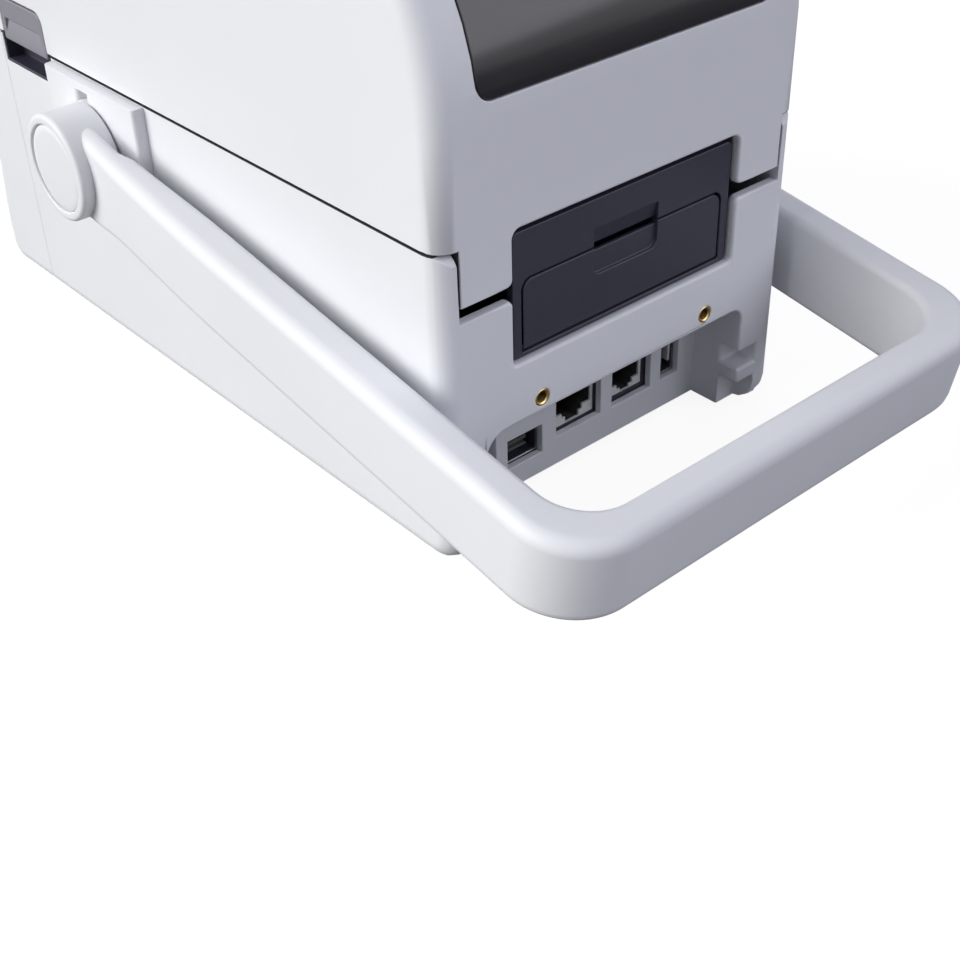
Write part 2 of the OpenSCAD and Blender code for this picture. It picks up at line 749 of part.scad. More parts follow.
// A thin steel strip with a row of cutting teeth.
module tear_bar() color(steel) {
    y0 = front_y + shelf_d - tear_d;
    teeth = 32;
    step = (tear_w - 0.4) / teeth;
    translate([0, y0, parting_z - 1]) rotate([90, 0, 0]) translate([0, 0, -1]) linear_extrude(0.8)
        polygon(concat([[-tear_w / 2 + 0.2, 0]],
            [for (i = [0:teeth - 1]) each [[-tear_w / 2 + 0.2 + i * step, 1.9], [-tear_w / 2 + 0.2 + (i + 0.5) * step, 2.7]]],
            [[tear_w / 2 - 0.2, 1.9], [tear_w / 2 - 0.2, 0]]));
    block(-tear_w / 2 + 0.2, tear_w / 2 - 0.2, y0 + 1, y0 + tear_d - 0.2, parting_z - 1, parting_z);
}

module media_sensor() color(black) {
    y0 = platen_y + platen_r + 3;
    difference() {
        block(-8, 8, y0, y0 + 7, deck_z - deck_t - 7, deck_z - deck_t);
        rod_z(deck_z - deck_t - 3, deck_z, 0, y0 + 3.5, 1.5);
    }
}

// Roll bay

roll_y = -1;
roll_z = parting_z + 23.5;
bay_t = 2;
bay_half = 40;
deck_t = 2;
deck_z = parting_z - 1;
guide_y = roll_y;
guide_pinion_r = gear_m * pinion_teeth / 2;
rack_z0 = roll_z - roll_r - bay_t - 5.5;
rack_h = 4;
rack_back = 4;
guide_t = 3;

module roll_bay() color([0.2, 0.2, 0.22])
    difference() {
        union() {
            intersection() {
                rod_x(-bay_half - bay_t, bay_half + bay_t, roll_y, roll_z, roll_r + bay_t);
                block(-half_w, half_w, -body_d, body_d, 0, deck_z);
            }
            // The deck round the bay, between the print unit and the hinge.
            block(-in_x + gap, in_x - gap, front_y + 75.5, hinge_y - sweep_r, deck_z - deck_t, deck_z);
            block(-plate_x + 1, plate_x - 1, platen_y + platen_r + 2, front_y + 76, deck_z - deck_t, deck_z);
            // A rim behind the seam between the case and the cover.
            for (s = [-1, 1]) side(s)
                block(in_x - 1.3, in_x - 0.2, lever_y + lever_w / 2 + 2.5, hinge_y - hinge_in - 1, deck_z - deck_t, cover_z + 1.5);
        }
        intersection() {
            rod_x(-bay_half, bay_half, roll_y, roll_z, roll_r);
            block(-half_w, half_w, -200, 200, 0, 200);
        }
        // The slots that the guides' feet run in, and the slot for folded media at the back.
        for (s = [-1, 1]) side(s)
            block(media_w / 2 - guide_travel - 2, media_w / 2 + guide_t + 1.5, foot_band(s)[0] - gap, foot_band(s)[1] + gap,
                20, roll_z - roll_r + 3);
        block(-exit_w / 2, exit_w / 2, roll_y + roll_r / 2, roll_y + roll_r + 5, roll_z - 49, roll_z - 41);
    }

// The Y band of a guide's foot and rack: behind the pinion on the right, before it on the left.
function foot_band(s) = s < 0
    ? [guide_y - guide_pinion_r - rack_root - rack_back, guide_y - guide_pinion_r - rack_root]
    : [guide_y + guide_pinion_r + rack_root, guide_y + guide_pinion_r + rack_root + rack_back];

module guide_rail() color([0.2, 0.2, 0.22]) {
    block(-bay_half, bay_half, guide_y - 14, guide_y + 14, rack_z0 - 2.3, rack_z0 - 0.3);
    rod_z(rack_z0 - 1, rack_z0 + rack_h + 0.3, 0, guide_y, 2);
    // Walls that keep the racks in line and hold the rail under the bay.
    for (x = [-bay_half, bay_half - 3]) block(x, x + 3, guide_y - 14, guide_y + 14, rack_z0 - 1, rail_top);
}

rail_top = roll_z - roll_r - bay_t;

// A guide plate with its foot and toothed rack, drawn for the right side.
module guide(s) side(s) {
    band = foot_band(s);
    in0 = media_w / 2;
    face = s < 0 ? band[1] : band[0];
    intersection() {
        slab(in0, in0 + guide_t) difference() {
            translate([roll_y, roll_z]) circle(r = roll_r - 0.7, $fn = 96);
            translate([-200, roll_z + 6]) square([400, 200]);
            translate([roll_y, roll_z + 6]) circle(r = 24);
        }
        block(0, in0 + 10, guide_y - 38, guide_y + 34, 0, 200);
    }
    block(in0, in0 + guide_t, band[0], band[1], rack_z0, roll_z - roll_r + 8);
    block(-9, in0 + guide_t, band[0], band[1], rack_z0, rack_z0 + rack_h);
    translate([0, face, rack_z0]) linear_extrude(rack_h) scale([1, -s]) for (i = [-3:11])
        translate([(i + 0.5) * PI * gear_m, 0]) rack_tooth();
}

// One tooth of a rack, from its root upwards; rack_root lies below the pitch line.
rack_root = 0.9;
module rack_tooth() {
    add = 0.85 * gear_m;
    half = PI * gear_m / 4 - 0.1;
    polygon([
        [-half - rack_root * tan(pressure), -eps], [-half + add * tan(pressure), rack_root + add],
        [half - add * tan(pressure), rack_root + add], [half + rack_root * tan(pressure), -eps]]);
}

module guide_right() color(grey) guide(1);
module guide_left() color(grey) guide(-1);

module guide_pinion() color([0.93, 0.93, 0.9])
    translate([0, guide_y, rack_z0]) difference() {
        linear_extrude(rack_h) rotate([0, 0, 90]) gear_face(pinion_teeth);
        translate([0, 0, -1]) cylinder(h = rack_h + 2, r = 2 + pin_play);
    }

// Controls

module control_panel() color(black)
    on_front() difference() {
        block(-panel_w / 2, panel_w / 2, 0.1, panel_t, -panel_h / 2, panel_h / 2);
        for (x = button_xs) rod_y(-1, 3, x, 0, button_r + gap);
        for (x = lens_xs) rod_y(-1, 3, x, 0, lens_r + 0.05);
    }

module status_lenses() color([0.5, 0.85, 0.6]) on_front() for (x = lens_xs) rod_y(0, 5, x, 0, lens_r);

module push_button(i) color(grey)
    on_front() difference() {
        union() {
            rod_y(-button_proud, 5.2, button_xs[i], 0, button_r);
            rod_y(5.2, 6, button_xs[i], 0, button_r + 1);
        }
        translate([button_xs[i], -button_proud - 12 * button_r + 0.35, 0]) sphere(r = 12 * button_r);
    }

module power_button() push_button(0);
module feed_button() push_button(1);
module menu_button() push_button(2);

module control_board() color([0.10, 0.35, 0.22])
    on_front() {
        block(-control_x, control_x, board_at, board_at + 1.6, -panel_h / 2 + 1, panel_h / 2 - 2);
        for (x = button_xs) block(x - 3, x + 3, 7.3, board_at, -3, 3);
        for (x = lens_xs) block(x - 1.2, x + 1.2, 5.1, board_at, -1.2, 1.2);
    }

// Bail

arm_in = half_w + pad_t + hub_play;
arm_out = arm_in + arm_t;
hub_out = arm_out + hub_proud;
bar_in = bail_reach - bar_t;
head_t = 2.5;

// The bail lies level in this frame, with its pivot at the origin; then it is tilted to rest.
module bail_frame() translate([0, pivot_y, pivot_z]) rotate([-bail_tilt, 0, 0]) children();

// The outline of the bail seen from above, drawn in by d.
module bail_outer(d) {
    r = bend_out_r - d;
    hull() {
        translate([-arm_out + d, 0]) square([2 * (arm_out - d), 1]);
        for (x = [-1, 1]) translate([x * (arm_out - bend_out_r), bail_reach - bend_out_r]) circle(r = r, $fn = 64);
    }
}

module bail_inner(d) {
    r = bend_in_r + d;
    hull() {
        translate([-arm_in - d, -hub_r - 2]) square([2 * (arm_in + d), 1]);
        for (x = [-1, 1]) translate([x * (arm_in - bend_in_r), bar_in - bend_in_r]) circle(r = r, $fn = 64);
    }
}

// The bevel round the bail's inner edge.
module inner_bevel()
    hull() {
        translate([0, 0, bar_h / 2 - bar_round * 0.6]) linear_extrude(eps) bail_inner(0);
        translate([0, 0, bar_h / 2 + eps]) linear_extrude(eps) bail_inner(bar_round * 0.6);
    }

module handle_bail() color(white)
    bail_frame() difference() {
        union() {
            hull() for (a = [0:22.5:90]) {
                z = bar_h / 2 - bar_round + bar_round * sin(a);
                translate([0, 0, -z]) linear_extrude(2 * z) bail_outer(bar_round * (1 - cos(a)));
            }
            for (s = [-1, 1]) side(s) {
                rod_x(arm_in, hub_out - 1, 0, 0, hub_r);
                translate([hub_out - 1, 0, 0]) rotate([0, 90, 0]) cylinder(h = 1, r1 = hub_r, r2 = hub_r - 1);
            }
        }
        translate([0, 0, -bar_h]) linear_extrude(2 * bar_h) bail_inner(0);
        inner_bevel();
        rotate([0, 180, 0]) inner_bevel();
        for (s = [-1, 1]) side(s) {
            rod_x(arm_in - 1, hub_out, 0, 0, axle_r + pin_play);
            rod_x(hub_out - cap_t - head_t - 0.8, hub_out, 0, 0, 8.2);
            rod_x(hub_out - cap_t, hub_out + 1, 0, 0, cap_r + 0.1);
        }
    }

module hub_cap(s) color(white) bail_frame() side(s) {
    rod_x(hub_out - cap_t, hub_out - 0.4, 0, 0, cap_r);
    translate([hub_out - 0.4, 0, 0]) rotate([0, 90, 0]) cylinder(h = 0.4, r1 = cap_r, r2 = cap_r - 0.4);
}

module hub_cap_left() hub_cap(-1);
module hub_cap_right() hub_cap(1);

module handle_mount(s) color(white) side(s)
    difference() {
        block(half_w, half_w + pad_t, pad_y0, pad_y1, pivot_z - hub_r - 4, parting_z - 0.2);
        rod_x(half_w - 1, half_w + pad_t + 1, pivot_y, pivot_z, axle_r);
        // The notch over the hub.
        block(half_w + 0.4, half_w + pad_t + 1, pivot_y - 6, pivot_y - 1, pivot_z + hub_r - 1, parting_z - 2.4);
    }

module handle_mount_left() handle_mount(-1);
module handle_mount_right() handle_mount(1);

// The axle's shank, its broad outer head, and the nut that clamps it inside the wall.
module handle_axle(s) color(steel) side(s) {
    head_x = hub_out - cap_t - head_t - 0.2;
    rod_x(in_x - 3.4, head_x, pivot_y, pivot_z, axle_r);
    rod_x(head_x, head_x + head_t, pivot_y, pivot_z, 8);
    rod_x(in_x - 3.2, in_x, pivot_y, pivot_z, nut_r);
}

module handle_axle_left() handle_axle(-1);
module handle_axle_right() handle_axle(1);

module friction_washers() color(steel)
    for (s = [-1, 1]) side(s) difference() {
        rod_x(half_w + pad_t, arm_in - 0.05, pivot_y, pivot_z, 9);
        rod_x(half_w, arm_in + 1, pivot_y, pivot_z, axle_r + 0.1);
    }

// Cover

module hinge_pins() color(steel)
    for (s = [-1, 1]) side(s) rod_x(post_x - post_w - 0.5, half_w - 1.5, hinge_y, hinge_z, hinge_pin_r);

arm_x0 = post_x - post_w - 1;
arm_x1 = post_x - gap;

module hinge_arms() color(black)
    for (s = [-1, 1]) side(s) difference() {
        union() {
            intersection() {
                rod_x(arm_x0, arm_x1, hinge_y, hinge_z, knuckle_r);
                block(arm_x0, arm_x1, hinge_y - knuckle_r, rear_y - wall, hinge_z - knuckle_r, hinge_z + knuckle_r);
            }
            block(arm_x0, arm_x1, hinge_y - knuckle_r, rear_y - wall, hinge_z, hinge_z + 28);
        }
        rod_x(arm_x0 - 1, arm_x1 + 1, hinge_y, hinge_z, hinge_pin_r + pin_play);
    }

// The window's outline, swept down through the back and over the top.
module window_zone(play) {
    w = window_w / 2 + play;
    lo = window_z - play;
    y_front = rear_y - window_back - play;
    back_part = window_back * 0.6;
    translate([0, rear_y + 1, 0]) rotate([90, 0, 0]) linear_extrude(back_part + 1) hull() {
        for (x = [-1, 1]) translate([x * (w - window_r), lo + window_r]) circle(r = window_r);
        translate([-w, body_h + 5]) square([2 * w, 1]);
    }
    translate([0, 0, body_h - 26]) linear_extrude(40) hull() {
        for (x = [-1, 1]) translate([x * (w - window_r), y_front + window_r]) circle(r = window_r);
        translate([-w, rear_y - back_part]) square([2 * w, 1]);
    }
}

module cover_shell() color(white)
    difference() {
        case_shell();
        // Everything below the cover's edge, with the lower strip at the back kept.
        block(-half_w - 1, half_w + 1, front_y - 1, rear_y - wall, 0, cover_z);
        block(-half_w - 1, half_w + 1, rear_y - wall - 1, rear_y + 1, 0, parting_z - cover_edge_drop);
        for (s = [-1, 1]) side(s) {
            block(post_x - seam, half_w + 1, hinge_y - 30, rear_y + 1, 0, cover_z);
            rod_x(post_x - seam, half_w + 1, hinge_y, hinge_z, relief_r);
        }
        // The notch over the black frame.
        slab_y(rear_y - wall - 1, rear_y + 1) {
            round_face(-notch_x, notch_x, edge_z, parting_z, 1, door_r + 0.7);
            for (s = [-1, 1]) corner_sliver(s * notch_x, parting_z - cover_edge_drop, s, 1, edge_corner_r);
        }
        // The front edge stands back over the shelf, and higher over the label exit.
        block(-half_w - 1, half_w + 1, front_y - 1, front_at(cover_z) + 0.4, 0, cover_z + 2);
        block(-exit_w / 2, exit_w / 2, front_y - 1, front_y + 22, 0, parting_z + exit_h);
        window_zone(window_play);
        for (s = [-1, 1]) side(s) {
            slab(in_x - 1, half_w + 1)
                round_face(lever_y - lever_w / 2 - 0.3, lever_y + lever_w / 2 + 0.3, lever_z0, lever_top + 0.6, 0.3, lever_r + 0.3);
            rod_y(lever_y - lever_w / 2 - 3, lever_y + lever_w / 2 + 3, lever_axis_x, lever_axis_z, lever_pin_r + pin_play);
        }
    }

module cover_window() color(smoke)
    intersection() {
        case_shell();
        window_zone(0);
    }

liner_z = parting_z + 19.5;
liner_t = 2.5;
liner_y0 = front_at(liner_z) + wall + 2.5;
// Distance of the liner's rear edge from the front of the case.
liner_back = 78;
liner_y1 = front_y + liner_back;
cheek_x = platen_l / 2 + 4.5;
rod_y0 = platen_y + 10;
rod_over = 7.5;
head_rod_z = parting_z + rod_over;

// The black inner frame of the cover, which carries the print head.
module cover_liner() color(black)
    difference() {
        union() {
            block(-in_x + 0.1, in_x - 0.1, liner_y0, liner_y1, liner_z, liner_z + liner_t);
            for (s = [-1, 1]) side(s)
                block(cheek_x, cheek_x + 2.5, platen_y - 6, platen_y + 14, parting_z + 4, liner_z + eps);
        }
        rod_x(-half_w, half_w, rod_y0, head_rod_z, rod_r);
    }

rod_r = 1.5;
bracket_z0 = head_z + 2;

module head_bracket() color(steel)
    difference() {
        union() {
            block(-cheek_x + gap, cheek_x - gap, platen_y - 8, platen_y + 13, bracket_z0, bracket_z0 + 4);
            for (y = [platen_y - 8, platen_y - 4.5, platen_y - 1]) block(-cheek_x + 3, cheek_x - 3, y, y + 1.5, bracket_z0, bracket_z0 + 8);
            block(-cheek_x + gap, cheek_x - gap, rod_y0 - 3, rod_y0 + 3, bracket_z0, head_rod_z + 3);
        }
        rod_x(-half_w, half_w, rod_y0, head_rod_z, rod_r);
    }

module head_rod() color(steel) rod_x(-cheek_x - 2.5, cheek_x + 2.5, rod_y0, head_rod_z, rod_r);

// The ceramic plate with its raised line of heaters.
module print_head() color([0.35, 0.27, 0.22]) {
    block(-platen_l / 2, platen_l / 2, platen_y - 7, platen_y + 6, head_z + 0.5, bracket_z0);
    block(-platen_l / 2 + 2, platen_l / 2 - 2, platen_y - 0.8, platen_y + 0.8, head_z, head_z + 0.5 + eps);
}

// A helical spring between the bracket and the liner.
spring_turns = 5;
spring_steps = 8;
module coil(x, y, z0, z1, r, wire) {
    n = spring_turns * spring_steps;
    sides = 6;
    z_of = function (i) z0 + wire + (z1 - z0 - 2 * wire) * i / n;
    points = [for (i = [0:n], k = [0:sides - 1]) let (a = 360 * i / spring_steps, b = 360 * k / sides)
        [x + (r + wire * cos(b)) * cos(a), y + (r + wire * cos(b)) * sin(a), z_of(i) + wire * sin(b)]];
    faces = concat(
        [for (i = [0:n - 1], k = [0:sides - 1]) let (a = i * sides + k, b = i * sides + (k + 1) % sides) each
            [[a, a + sides, b + sides], [a, b + sides, b]]],
        [for (k = [1:sides - 2]) [0, k, k + 1]],
        [for (k = [1:sides - 2]) [n * sides, n * sides + k + 1, n * sides + k]]);
    polyhedron(points, faces);
}

module head_springs() color(steel)
    for (x = [-18, 18]) coil(x, platen_y + 3.6, bracket_z0 + 4, liner_z, 2.6, 0.4);

// Release levers

lever_z0 = parting_z - lever_drop;
lever_top = lever_z0 + lever_h;
lever_pin_r = 1;
lever_axis_x = half_w - 2.2;
lever_axis_z = lever_top - 1.2;
hook_x = plate_x + plate_t + 0.6;
hook_y = lever_y + lever_w / 2 + 2.5;
hook_w = 6;
hook_t = 1.6;

module latch_lever(s) color(grey) side(s)
    difference() {
        union() {
            slab(in_x - 0.1, half_w)
                round_face(lever_y - lever_w / 2, lever_y + lever_w / 2, lever_z0, lever_top, 0.5, lever_r);
            rod_y(lever_y - lever_w / 2 - 2.8, lever_y + lever_w / 2 + 2.8, lever_axis_x, lever_axis_z, lever_pin_r);
            // The arm and the hook that reach down beside the steel plate.
            block(hook_x, in_x + 0.4, lever_y + 4, lever_y + lever_w / 2 - 1, lever_top - 5.4, lever_top - 2.4);
            block(hook_x, in_x - 2, lever_y + 4, hook_y + hook_w, lever_top - 5.4, lever_top - 2.4);
            block(hook_x, hook_x + hook_t, hook_y, hook_y + hook_w, parting_z - 6.5, lever_top - 2.4);
            block(hook_x - 0.4, hook_x + 2, hook_y, hook_y + hook_w, parting_z - 6.5, parting_z - 4.5);
        }
        // The groove for a fingertip, deepest at its upper edge.
        slab_y(lever_y - lever_w / 2 + 2, lever_y + lever_w / 2 - 2) polygon([
            [half_w + 1, lever_z0 + 6.1], [half_w - 1.2, lever_z0 + 6.1], [half_w + 1, lever_z0 - 0.9]]);
    }

module latch_lever_left() latch_lever(-1);
module latch_lever_right() latch_lever(1);

lower_case();
front_bezel();
base_plate();
rubber_feet();
base_screws();
main_board();
board_standoffs();
usb_b_socket();
lan_socket();
serial_socket();
usb_a_socket();
dc_inlet();
insert_left();
insert_right();
finger_cups();
door_frame();
rear_door();
plate_left();
plate_right();
platen_bushes();
platen_shaft();
platen_roller();
platen_gear();
idler_gear();
idler_axle();
motor_pinion();
stepper_motor();
tear_bar();
media_sensor();
roll_bay();
guide_rail();
guide_right();
guide_left();
guide_pinion();
control_panel();
status_lenses();
control_board();
power_button();
feed_button();
menu_button();
handle_bail();
hub_cap_left();
hub_cap_right();
handle_mount_left();
handle_mount_right();
handle_axle_left();
handle_axle_right();
friction_washers();
hinge_pins();
hinge_arms();
cover_shell();
cover_window();
cover_liner();
head_bracket();
head_rod();
print_head();
head_springs();
latch_lever_left();
latch_lever_right();
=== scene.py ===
"""Desktop label printer: moulded cases, smoked window, carrying bail, ports and print unit.
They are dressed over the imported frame."""

import json
from math import cos, pi, radians, sin

import bmesh
import bpy
import numpy as np
from mathutils import Matrix, Vector
from mathutils.geometry import tessellate_polygon


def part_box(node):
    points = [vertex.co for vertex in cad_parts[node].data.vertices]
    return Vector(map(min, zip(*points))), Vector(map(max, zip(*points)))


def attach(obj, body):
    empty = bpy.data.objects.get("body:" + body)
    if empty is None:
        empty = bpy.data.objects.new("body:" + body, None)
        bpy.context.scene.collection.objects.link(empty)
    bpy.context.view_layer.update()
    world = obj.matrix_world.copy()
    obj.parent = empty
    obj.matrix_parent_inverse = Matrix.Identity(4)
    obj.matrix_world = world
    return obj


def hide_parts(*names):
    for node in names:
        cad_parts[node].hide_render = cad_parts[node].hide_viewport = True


bl_info = {
    "name": "Desktop label printer",
    "version": (1, 0, 0),
    "blender": (4, 2, 0),
    "location": "3D View > Sidebar > Label printer",
    "description": "Builds the moulded cases, window, bail, ports and print unit of a desktop label printer",
    "category": "Object",
}

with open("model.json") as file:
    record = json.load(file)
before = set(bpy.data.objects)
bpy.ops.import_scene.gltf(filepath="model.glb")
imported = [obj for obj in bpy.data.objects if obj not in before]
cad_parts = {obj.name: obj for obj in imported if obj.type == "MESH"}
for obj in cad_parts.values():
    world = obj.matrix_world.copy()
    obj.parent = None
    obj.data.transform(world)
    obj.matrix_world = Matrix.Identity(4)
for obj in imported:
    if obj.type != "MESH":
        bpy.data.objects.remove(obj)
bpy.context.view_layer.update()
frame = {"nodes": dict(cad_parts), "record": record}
BODY_OF = {}
for body_name, node_names in frame["record"]["behaviour"]["bodies"].items():
    for node_name in node_names:
        BODY_OF[node_name] = body_name
SLOT_OF = {s["node"]: s["material_slot"] for s in frame["record"]["subparts"]}
MM = 0.001


# Sizes that several pieces share, read from the frame.

def low(node_name):
    """The low corner of a node's box."""
    return np.array(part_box(node_name)[0])


def high(node_name):
    """The high corner of a node's box."""
    return np.array(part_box(node_name)[1])


def joint_place(name):
    """The point that a joint of the record turns about."""
    joint = next(j for j in frame["record"]["behaviour"]["joints"] if j["name"] == name)
    return np.array(joint["pos_m"], float)


HALF_W = high("lower_case")[0]
# The seam between case and cover, its height, and the radius of the edges at it.
SEAM = 0.6 * MM
SEAM_Z = high("lower_case")[2]
SEAM_EDGE = 0.12 * MM
# The inner side of the cover's hinge posts.
POST_X = HALF_W - 5.6 * MM

# The bail: its arms' faces, the cross bar's far side and thickness, its height, its bends, and its drop to
# the table.
PIVOT = joint_place("handle_swing")
ARM_IN, ARM_OUT = HALF_W + 4 * MM, HALF_W + 14 * MM
REACH, BAR_T, BAIL_H = 189.5 * MM, 9 * MM, 22.5 * MM
BEND_IN, BEND_OUT = 12.5 * MM, 17 * MM
DROP = radians(-9.5)
# Its hubs: the outer face, the disc's radius, its rim's radius, the bore, the cap's groove and the cap.
HUB_OUT = ARM_OUT + 2 * MM
HUB_R, HUB_RIM, HUB_BORE = 14 * MM, 1.2 * MM, 4.1 * MM
GROOVE_R, CAP_R = 11.5 * MM, 11.35 * MM
# The pad between hub and case is rounded past this distance from the middle.
PAD_ROUND_X = HALF_W + 3 * MM


# Meshes

# Points this near are one point, in a mesh built here and in a CAD node.
NEAR, NEAR_CAD = 1e-7, 2e-6
# Faces that bend by less than FLAT are one face. An edge that bends by more than SHARP is a sharp one.
FLAT, SHARP = radians(0.3), radians(28)


def add_object(name, data):
    thing = bpy.data.objects.new(name, data)
    bpy.context.scene.collection.objects.link(thing)
    return thing


def place(name, mesh, stands_for, body):
    """Makes a mesh a piece that rides on a body and stands for CAD nodes."""
    piece = add_object(name, mesh)
    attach(piece, body or BODY_OF[stands_for[0]])
    if stands_for:
        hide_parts(*stands_for)
    return piece


def smooth(mesh):
    mesh.polygons.foreach_set("use_smooth", [True] * len(mesh.polygons))


def built_mesh(name, verts, faces, material, flat_angle=0.0):
    """A mesh of arrays of points and faces, with doubled points merged and every face pointing outwards."""
    mesh = bpy.data.meshes.new(name)
    mesh.from_pydata(np.asarray(verts, float).tolist(), [], [list(f) for f in faces])
    form = bmesh.new()
    form.from_mesh(mesh)
    bmesh.ops.remove_doubles(form, verts=form.verts, dist=NEAR)
    bmesh.ops.recalc_face_normals(form, faces=form.faces)
    if flat_angle:
        bmesh.ops.dissolve_limit(form, angle_limit=flat_angle, verts=form.verts, edges=form.edges)
    form.to_mesh(mesh)
    form.free()
    smooth(mesh)
    mesh.materials.append(material)
    return mesh


def add_piece(name, verts, faces, material, stands_for=(), body=None, slot=None):
    """Makes one piece of arrays of points and faces, gives it its finish and lets it ride on its body."""
    return place(name, built_mesh(name, verts, faces, material), stands_for, body)


def weigh_edges(mesh, sharp, width, widest, zones):
    """Gives each edge that bends by more than `sharp` the share of the widest radius that it gets: the radius
    of the last zone (low corner, high corner, radius) that its middle lies in, or else the plain width."""
    count, faces = len(mesh.edges), len(mesh.polygons)
    ends, middles = np.empty(2 * count, int), np.empty(3 * len(mesh.vertices))
    mesh.edges.foreach_get("vertices", ends)
    mesh.vertices.foreach_get("co", middles)
    middles = middles.reshape(-1, 3)[ends.reshape(-1, 2)].mean(1)
    edge_of, sizes, normals = np.empty(len(mesh.loops), int), np.empty(faces, int), np.empty(3 * faces)
    mesh.loops.foreach_get("edge_index", edge_of)
    mesh.polygons.foreach_get("loop_total", sizes)
    mesh.polygons.foreach_get("normal", normals)
    normals = np.repeat(normals.reshape(-1, 3), sizes, 0)
    # The loops sorted by edge: the first and the last loop of an edge belong to its two faces.
    order = np.argsort(edge_of, kind="stable")
    first = np.searchsorted(edge_of[order], np.arange(count))
    last = np.searchsorted(edge_of[order], np.arange(count), "right") - 1
    bend = (normals[order[first]] * normals[order[last]]).sum(1)
    weights = np.full(count, width / widest)
    for low_corner, high_corner, radius in zones:
        inside = ((middles >= low_corner) & (middles <= high_corner)).all(1)
        weights[inside] = radius / widest
    weights[bend > cos(sharp)] = 0
    mesh.attributes.new("bevel_weight_edge", "FLOAT", "EDGE").data.foreach_set("value", weights)


def even_shading(piece):
    """Shades a piece by the size of its faces, so that flat faces stay flat beside rounded edges."""
    piece.modifiers.new("even_shading", "WEIGHTED_NORMAL").weight = 80


def ease_edges(piece, width, segments=2, sharp=SHARP, zones=()):
    """Breaks the sharp edges of a piece by a small moulded radius. Edges in the zones get their own."""
    bevel = piece.modifiers.new("moulded_edges", "BEVEL")
    bevel.segments = segments
    bevel.use_clamp_overlap = False
    bevel.width = width
    if zones:
        bevel.width = max(width, *(radius for _, _, radius in zones))
        bevel.limit_method = "WEIGHT"
        weigh_edges(piece.data, sharp, width, bevel.width, zones)
    else:
        bevel.limit_method = "ANGLE"
        bevel.angle_limit = sharp
    even_shading(piece)


def softened(node_name, material, width, segments=2, sharp=SHARP, zones=()):
    """A copy of a CAD node that stands for it, with its flat triangles joined and its edges broken."""
    mesh = frame["nodes"][node_name].data.copy()
    mesh.name = node_name + "_moulded"
    form = bmesh.new()
    form.from_mesh(mesh)
    bmesh.ops.remove_doubles(form, verts=form.verts, dist=NEAR_CAD)
    bmesh.ops.dissolve_limit(form, angle_limit=FLAT, verts=form.verts, edges=form.edges)
    form.to_mesh(mesh)
    form.free()
    smooth(mesh)
    if "custom_normal" in mesh.attributes:
        mesh.attributes.remove(mesh.attributes["custom_normal"])
    mesh.materials.clear()
    mesh.materials.append(material)
    piece = place(mesh.name, mesh, (node_name,), BODY_OF[node_name])
    ease_edges(piece, width, segments, sharp, zones)


def soften_all(node_names, width, segments=2):
    """Softens nodes in the finishes of their own material slots."""
    for name in node_names:
        softened(name, finish(SLOT_OF[name]), width, segments)


def level_zone(z, radius):
    """The zone of all edges at one level of a piece."""
    return (-1, -1, z - 0.1 * MM), (1, 1, z + 0.1 * MM), radius


def grid_faces(rows, cols, close_rows=False, close_cols=False):
    """The faces of a grid of points as one array of quads. Row i, column j is point i * cols + j."""
    i = np.arange(rows if close_rows else rows - 1)
    j = np.arange(cols if close_cols else cols - 1)
    a, b = np.meshgrid(i, j, indexing="ij")
    a2, b2 = (a + 1) % rows, (b + 1) % cols
    return np.stack([a * cols + b, a * cols + b2, a2 * cols + b2, a2 * cols + b], -1).reshape(-1, 4)


def turned_about_x(profile, side):
    """A profile of (distance along X, radius) turned round the bail's pivot: point k of step i lies at its
    radius in the direction of angle i. The side is 1 for the right and -1 for the left."""
    along, radius = np.asarray(profile, float).T
    steps = 96
    t = np.linspace(0, 2 * pi, steps, endpoint=False)[:, None]
    y = PIVOT[1] + radius * np.cos(t)
    z = PIVOT[2] + radius * np.sin(t)
    verts = np.stack([np.broadcast_to(side * along, y.shape), y, z], -1).reshape(-1, 3)
    return verts, grid_faces(steps, len(along), close_rows=True)


def turned_about_y(y, r, x, z):
    """Closed rings round an axis along Y at (x, z), as points and faces: row i of the depths y and the
    radii r lies in the direction of angle i."""
    t = np.linspace(0, 2 * pi, len(r), endpoint=False)[:, None]
    verts = np.stack([x + r * np.cos(t), y, z + r * np.sin(t)], -1).reshape(-1, 3)
    return verts, grid_faces(*r.shape, True, True)


def rounded_section(width, height, corners, steps=6):
    """A rounded rectangle as (across, up) points: each corner is a quarter arc of its own radius.
    The corners go: outer top, inner top, inner bottom, outer bottom."""
    half_w, half_h = width / 2, height / 2
    points = []
    for k, (sx, sz) in enumerate([(1, 1), (-1, 1), (-1, -1), (1, -1)]):
        r = corners[k]
        t = np.linspace(0, pi / 2, steps) + k * pi / 2
        points.append(np.stack([sx * (half_w - r) + r * np.cos(t), sz * (half_h - r) + r * np.sin(t)], -1))
    return np.concatenate(points)


def rectangle(u0, u1, v0, v1):
    return [(u0, v0), (u1, v0), (u1, v1), (u0, v1)]


def soft_rectangle(u0, u1, v0, v1, r, steps=6):
    """A rectangle whose corners are quarter arcs of radius r."""
    ring = rounded_section(u1 - u0, v1 - v0, (r, r, r, r), steps)
    return ring + [(u0 + u1) / 2, (v0 + v1) / 2]


def circle(u, v, r, steps=24):
    t = np.linspace(0, 2 * pi, steps, endpoint=False)
    return np.stack([u + r * np.cos(t), v + r * np.sin(t)], -1)


